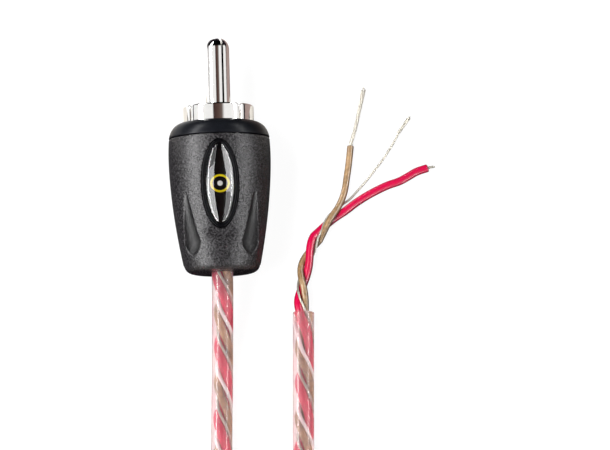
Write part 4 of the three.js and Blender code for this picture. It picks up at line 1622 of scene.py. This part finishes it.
@dataclass
class Studio:
    """Floor, world, lamps and the camera of the photograph."""

    frame_px: tuple[int, int] = (610, 450)
    px_per_mm: float = 7.594
    target: tuple[float, float, float] = (11.012, -8.189, 0.0)
    elevation: float = 79.5
    heading: float = 1.443
    distance: float = 1500.0
    sensor: float = 36.0
    overhead: tuple[tuple[float, Colour], ...] = (
        (-0.30, (1.0, 1.0, 1.0)),
        (-0.27, (0.05, 0.028, 0.026)),
        (0.02, (0.11, 0.065, 0.055)),
        (0.20, (0.17, 0.13, 0.115)),
        (0.33, (1.0, 1.0, 1.0)),
    )
    ahead_from: float = 0.42
    ahead_fade: float = 0.1
    softbox: float = 9.0
    # Each box: where it starts across, where it stops ahead, and how bright it stays past that.
    left_box: tuple[float, float, float] = (-0.28, 0.12, 0.15)
    right_box: tuple[float, float, float] = (0.3, -0.12, 0.35)
    lamp_distance: float = 600.0
    # Each lamp: its name, lean in degrees, width, length, power, and whether it is only for shine.
    lamps_at: tuple[tuple[str, float, float, float, float, bool], ...] = (
        ("fill_left", -30.0, 200.0, 560.0, 5.0, False),
        ("fill_right", 50.0, 180.0, 600.0, 0.5, False),
        ("strip_left", -60.0, 120.0, 2200.0, 18.0, True),
        ("strip_right", 57.0, 60.0, 2200.0, 9.0, True),
    )
    ambient: float = 0.08
    through_light: float = 2.0
    inside_light: float = 3.9
    floor_inside: float = 2.2
    floor_glow: float = 0.95
    floor_pale: float = 0.12
    floor_plain: float = 0.15
    floor_radius: float = 3000.0
    floor_drop: float = 0.02
    # Painted shade and painted reflections on the floor as shiny pieces see it: the tones, and the bands
    # where they lie.
    floor_painted_shade_tones: tuple[tuple[float, Colour], ...] = (
        (0.0, (0.80, 0.76, 0.70)),
        (0.5, (0.16, 0.155, 0.16)),
        (1.0, (0.02, 0.015, 0.02)),
    )
    # Painted reflection tones beside the pin: white on its left, brown-grey on its right.
    pin_painted_reflection_tones: tuple[tuple[float, Colour], ...] = ((0.0, (0.97, 0.97, 0.97)), (1.0, (0.36, 0.27, 0.25)))
    painted_band_inner: float = 17.5
    painted_band_width: float = 4.5
    painted_dark_ahead_from: float = 24.0
    painted_shade_front: float = 5.0
    painted_shade_back: float = -24.0
    painted_shade_left_extra: float = 0.25
    painted_shade_level: float = 0.5
    left_band_to: float = 11.5
    by_pin_from: float = 9.5
    # Painted shadow under the plug's tail, as its underside sees the floor.
    tail_painted_shadow_from: float = -14.5
    tail_painted_shadow_half: float = 9.0

    def _aim(self, obj: bpy.types.Object, away: Vector, distance: float) -> None:
        """Links a camera or lamp, at a distance from the target along a direction, in millimetres.

        Args:
            obj: the camera or lamp.
            away: the direction from the target.
            distance: how far off it stands.
        """
        obj.location = Vector(self.target) * MM + away * distance * MM
        obj.rotation_mode = "QUATERNION"
        bpy.context.scene.collection.objects.link(obj)

    def camera(self) -> None:
        """Places the camera on the photograph's side, looking down at the plug from its tail side."""
        turn, rise = math.radians(self.heading), math.radians(self.elevation)
        back = Vector((-math.sin(turn) * math.cos(rise), -math.cos(turn) * math.cos(rise), math.sin(rise)))
        data = bpy.data.cameras.new("camera")
        data.sensor_width = self.sensor
        data.lens = self.sensor * self.distance * self.px_per_mm / self.frame_px[0]
        data.clip_start, data.clip_end = 0.01, 50.0
        obj = bpy.data.objects.new("camera", data)
        self._aim(obj, back, self.distance)
        obj.rotation_quaternion = (-back).to_track_quat("-Z", "Y")
        bpy.context.scene.camera = obj

    @staticmethod
    def _inner(bench: NodeBench, ray: bpy.types.bpy_prop_collection, more: float, base: float) -> Socket:
        """A strength for rays through the jacket: base, and more once they have met a wire."""
        met = bench.maths("MINIMUM", ray["Diffuse Depth"], 1.0)
        return bench.maths("MULTIPLY_ADD", met, more, base)

    def world(self) -> None:
        """A white room for the camera, and for shiny things one that is dark overhead and ahead."""
        world = bpy.data.worlds.new("studio")
        bpy.context.scene.world = world
        bench = NodeBench(world)
        ray = bench.add("LightPath").outputs
        x, y = bench.axes(bench.add("TexCoord").outputs["Generated"])
        share = bench.maths("MULTIPLY", bench.maths("ADD", x, 1.0), 0.5)
        room = bench.ramp(share, *(((at + 1.0) / 2.0, colour) for at, colour in self.overhead))
        past = bench.maths("SUBTRACT", y, self.ahead_from)
        lit = bench.maths("SUBTRACT", 1.0, bench.maths("DIVIDE", past, self.ahead_fade, clamp=True))
        boxes = bench.maths("MULTIPLY", self._softboxes(bench, x, y), ray["Is Singular Ray"])
        through_it = self._inner(bench, ray, self.inside_light, self.through_light)
        level = bench.maths("ADD", lit, boxes)
        seen = bench.mixed(
            bench.shader("Background", Color=WHITE, Strength=self.ambient),
            (ray["Is Transmission Ray"], bench.shader("Background", Color=WHITE, Strength=through_it)),
            (ray["Is Glossy Ray"], bench.shader("Background", Color=room, Strength=level)),
            (ray["Is Camera Ray"], bench.shader("Background", Color=WHITE, Strength=1.0)),
        )
        bench.show("World", seen)

    def _softboxes(self, bench: NodeBench, x: Socket, y: Socket) -> Socket:
        """The bright boxes that only the mirror-smooth dome shows: left and low, and right and high.

        Args:
            bench: the world's node bench.
            x: the direction's part across.
            y: the direction's part ahead.

        Returns:
            The boxes' brightness.
        """
        sides = []
        for beyond, (edge, end, rest) in (("LESS_THAN", self.left_box), ("GREATER_THAN", self.right_box)):
            level = bench.maths("MAXIMUM", bench.maths(beyond, y, end), rest)
            sides.append(bench.maths("MULTIPLY", bench.maths(beyond, x, edge), level))
        return bench.maths("MULTIPLY", bench.maths("ADD", *sides), self.softbox)

    def _painted_floor_reflection(self, bench: NodeBench) -> Socket:
        """The floor's colour as shiny pieces show it: painted shade near the plug, a painted shadow under its
        tail, dark painted reflection bands beside and ahead of it, and painted white and brown-grey
        reflection tones beside the pin.

        Args:
            bench: the floor's node bench.

        Returns:
            The colour's socket.
        """
        x, y = bench.axes(bench.add("NewGeometry").outputs["Position"])
        off = bench.maths("ABSOLUTE", x)
        right = bench.maths("GREATER_THAN", x, 0.0)
        left = bench.maths("SUBTRACT", 1.0, right)
        # Dark painted reflection ahead of the pin and in bands beside the plug.
        ahead = bench.maths("GREATER_THAN", y, self.painted_dark_ahead_from * MM)
        near = bench.maths("MAXIMUM", right, bench.maths("LESS_THAN", y, self.left_band_to * MM))
        band = bench.between(off, self.painted_band_inner, self.painted_band_inner + self.painted_band_width)
        band = bench.maths("MULTIPLY", band, near)
        # Painted shade near the plug, darker on its left.
        shade = bench.maths("MULTIPLY_ADD", left, self.painted_shade_left_extra, self.painted_shade_level)
        shade = bench.maths("MULTIPLY", shade, bench.between(y, self.painted_shade_back, self.painted_shade_front))
        # Painted shadow under the tail.
        tail = bench.maths("LESS_THAN", off, self.tail_painted_shadow_half * MM)
        tail = bench.maths("MULTIPLY", tail, bench.between(y, self.painted_shade_back, self.tail_painted_shadow_from))
        dark = bench.maths("MAXIMUM", shade, tail)
        dark = bench.maths("MAXIMUM", bench.maths("MAXIMUM", band, ahead), dark)
        by_pin = bench.between(y, self.by_pin_from, self.painted_dark_ahead_from)
        colour = bench.add("Mix", data_type="RGBA")
        bench.put(by_pin, colour.inputs[0])
        bench.put(bench.ramp(dark, *self.floor_painted_shade_tones), colour.inputs[6])
        bench.put(bench.ramp(right, *self.pin_painted_reflection_tones), colour.inputs[7])
        return colour.outputs[2]

    def floor(self) -> None:
        """A pale floor that the camera sees as white where nothing shades it."""
        mesh = bpy.data.meshes.new("floor")
        angle = round_turn(64)
        rim = np.stack([np.cos(angle), np.sin(angle), 0 * angle], axis=1) * self.floor_radius
        points = (rim - (0.0, 0.0, self.floor_drop)) * MM
        mesh.from_pydata(points.tolist(), [], [list(range(len(points)))])
        obj = bpy.data.objects.new("floor", mesh)
        bpy.context.scene.collection.objects.link(obj)
        material = bpy.data.materials.new("floor")
        bench = NodeBench(material)
        ray = bench.add("LightPath").outputs
        strength = self._inner(bench, ray, self.floor_inside, 1.0)
        glow = bench.shader("Emission", Color=WHITE, Strength=self.floor_glow)
        pale = bench.shader("BsdfDiffuse", Color=(*3 * (self.floor_pale,), 1.0))
        seen = bench.mixed(
            bench.shader("BsdfDiffuse", Color=(*3 * (self.floor_plain,), 1.0)),
            # Shiny pieces see the floor with painted shade and painted reflection tones, not its lit colour.
            (ray["Is Glossy Ray"], bench.shader("BsdfDiffuse", Color=self._painted_floor_reflection(bench))),
            (ray["Is Transmission Ray"], bench.shader("Emission", Color=WHITE, Strength=strength)),
            (ray["Is Camera Ray"], bench.fill(bench.add("AddShader"), glow, pale)),
        )
        bench.show("Material", seen)
        mesh.materials.append(material)

    def lamps(self) -> None:
        """Lamps left and right of the plug: two soft ones for its colours and two long ones for its shine."""
        for name, lean, wide, long, watts, shine in self.lamps_at:
            turn = math.radians(lean)
            away = Vector((math.sin(turn), 0.0, math.cos(turn))).normalized()
            data = bpy.data.lights.new(name, "AREA")
            data.shape = "RECTANGLE"
            data.size, data.size_y = long * MM, wide * MM
            data.energy = watts
            obj = bpy.data.objects.new(name, data)
            self._aim(obj, away, self.lamp_distance)
            obj.rotation_quaternion = away.to_track_quat("Z", "Y")
            obj.visible_glossy = shine
            obj.visible_transmission = False
            obj.visible_diffuse = not shine

    def make(self) -> None:
        """Builds the whole studio."""
        bpy.context.scene.view_settings.view_transform = "Standard"
        self.world()
        self.floor()
        self.lamps()
        self.camera()


def main() -> None:
    """Loads the frame, builds the studio, the cords and the plug."""
    logging.basicConfig(level=logging.INFO, format="%(name)s: %(message)s")
    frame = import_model()
    for finish in FINISHES:
        PALETTE[finish.slot] = finish.make()
    place = PlugPlace()
    place.read(frame["record"])
    badge = Badge(place)
    boot = Boot(place, badge)
    cable = Cable(place, Coil())
    inside = PlugInside(place, frame["nodes"])
    for part in (Studio(), cable, boot, badge, Cap(place, boot), Collar(place), Pin(place), inside):
        part.make()
        LOG.info("%s is in place", type(part).__name__)


if __name__ == "__main__":
    main()
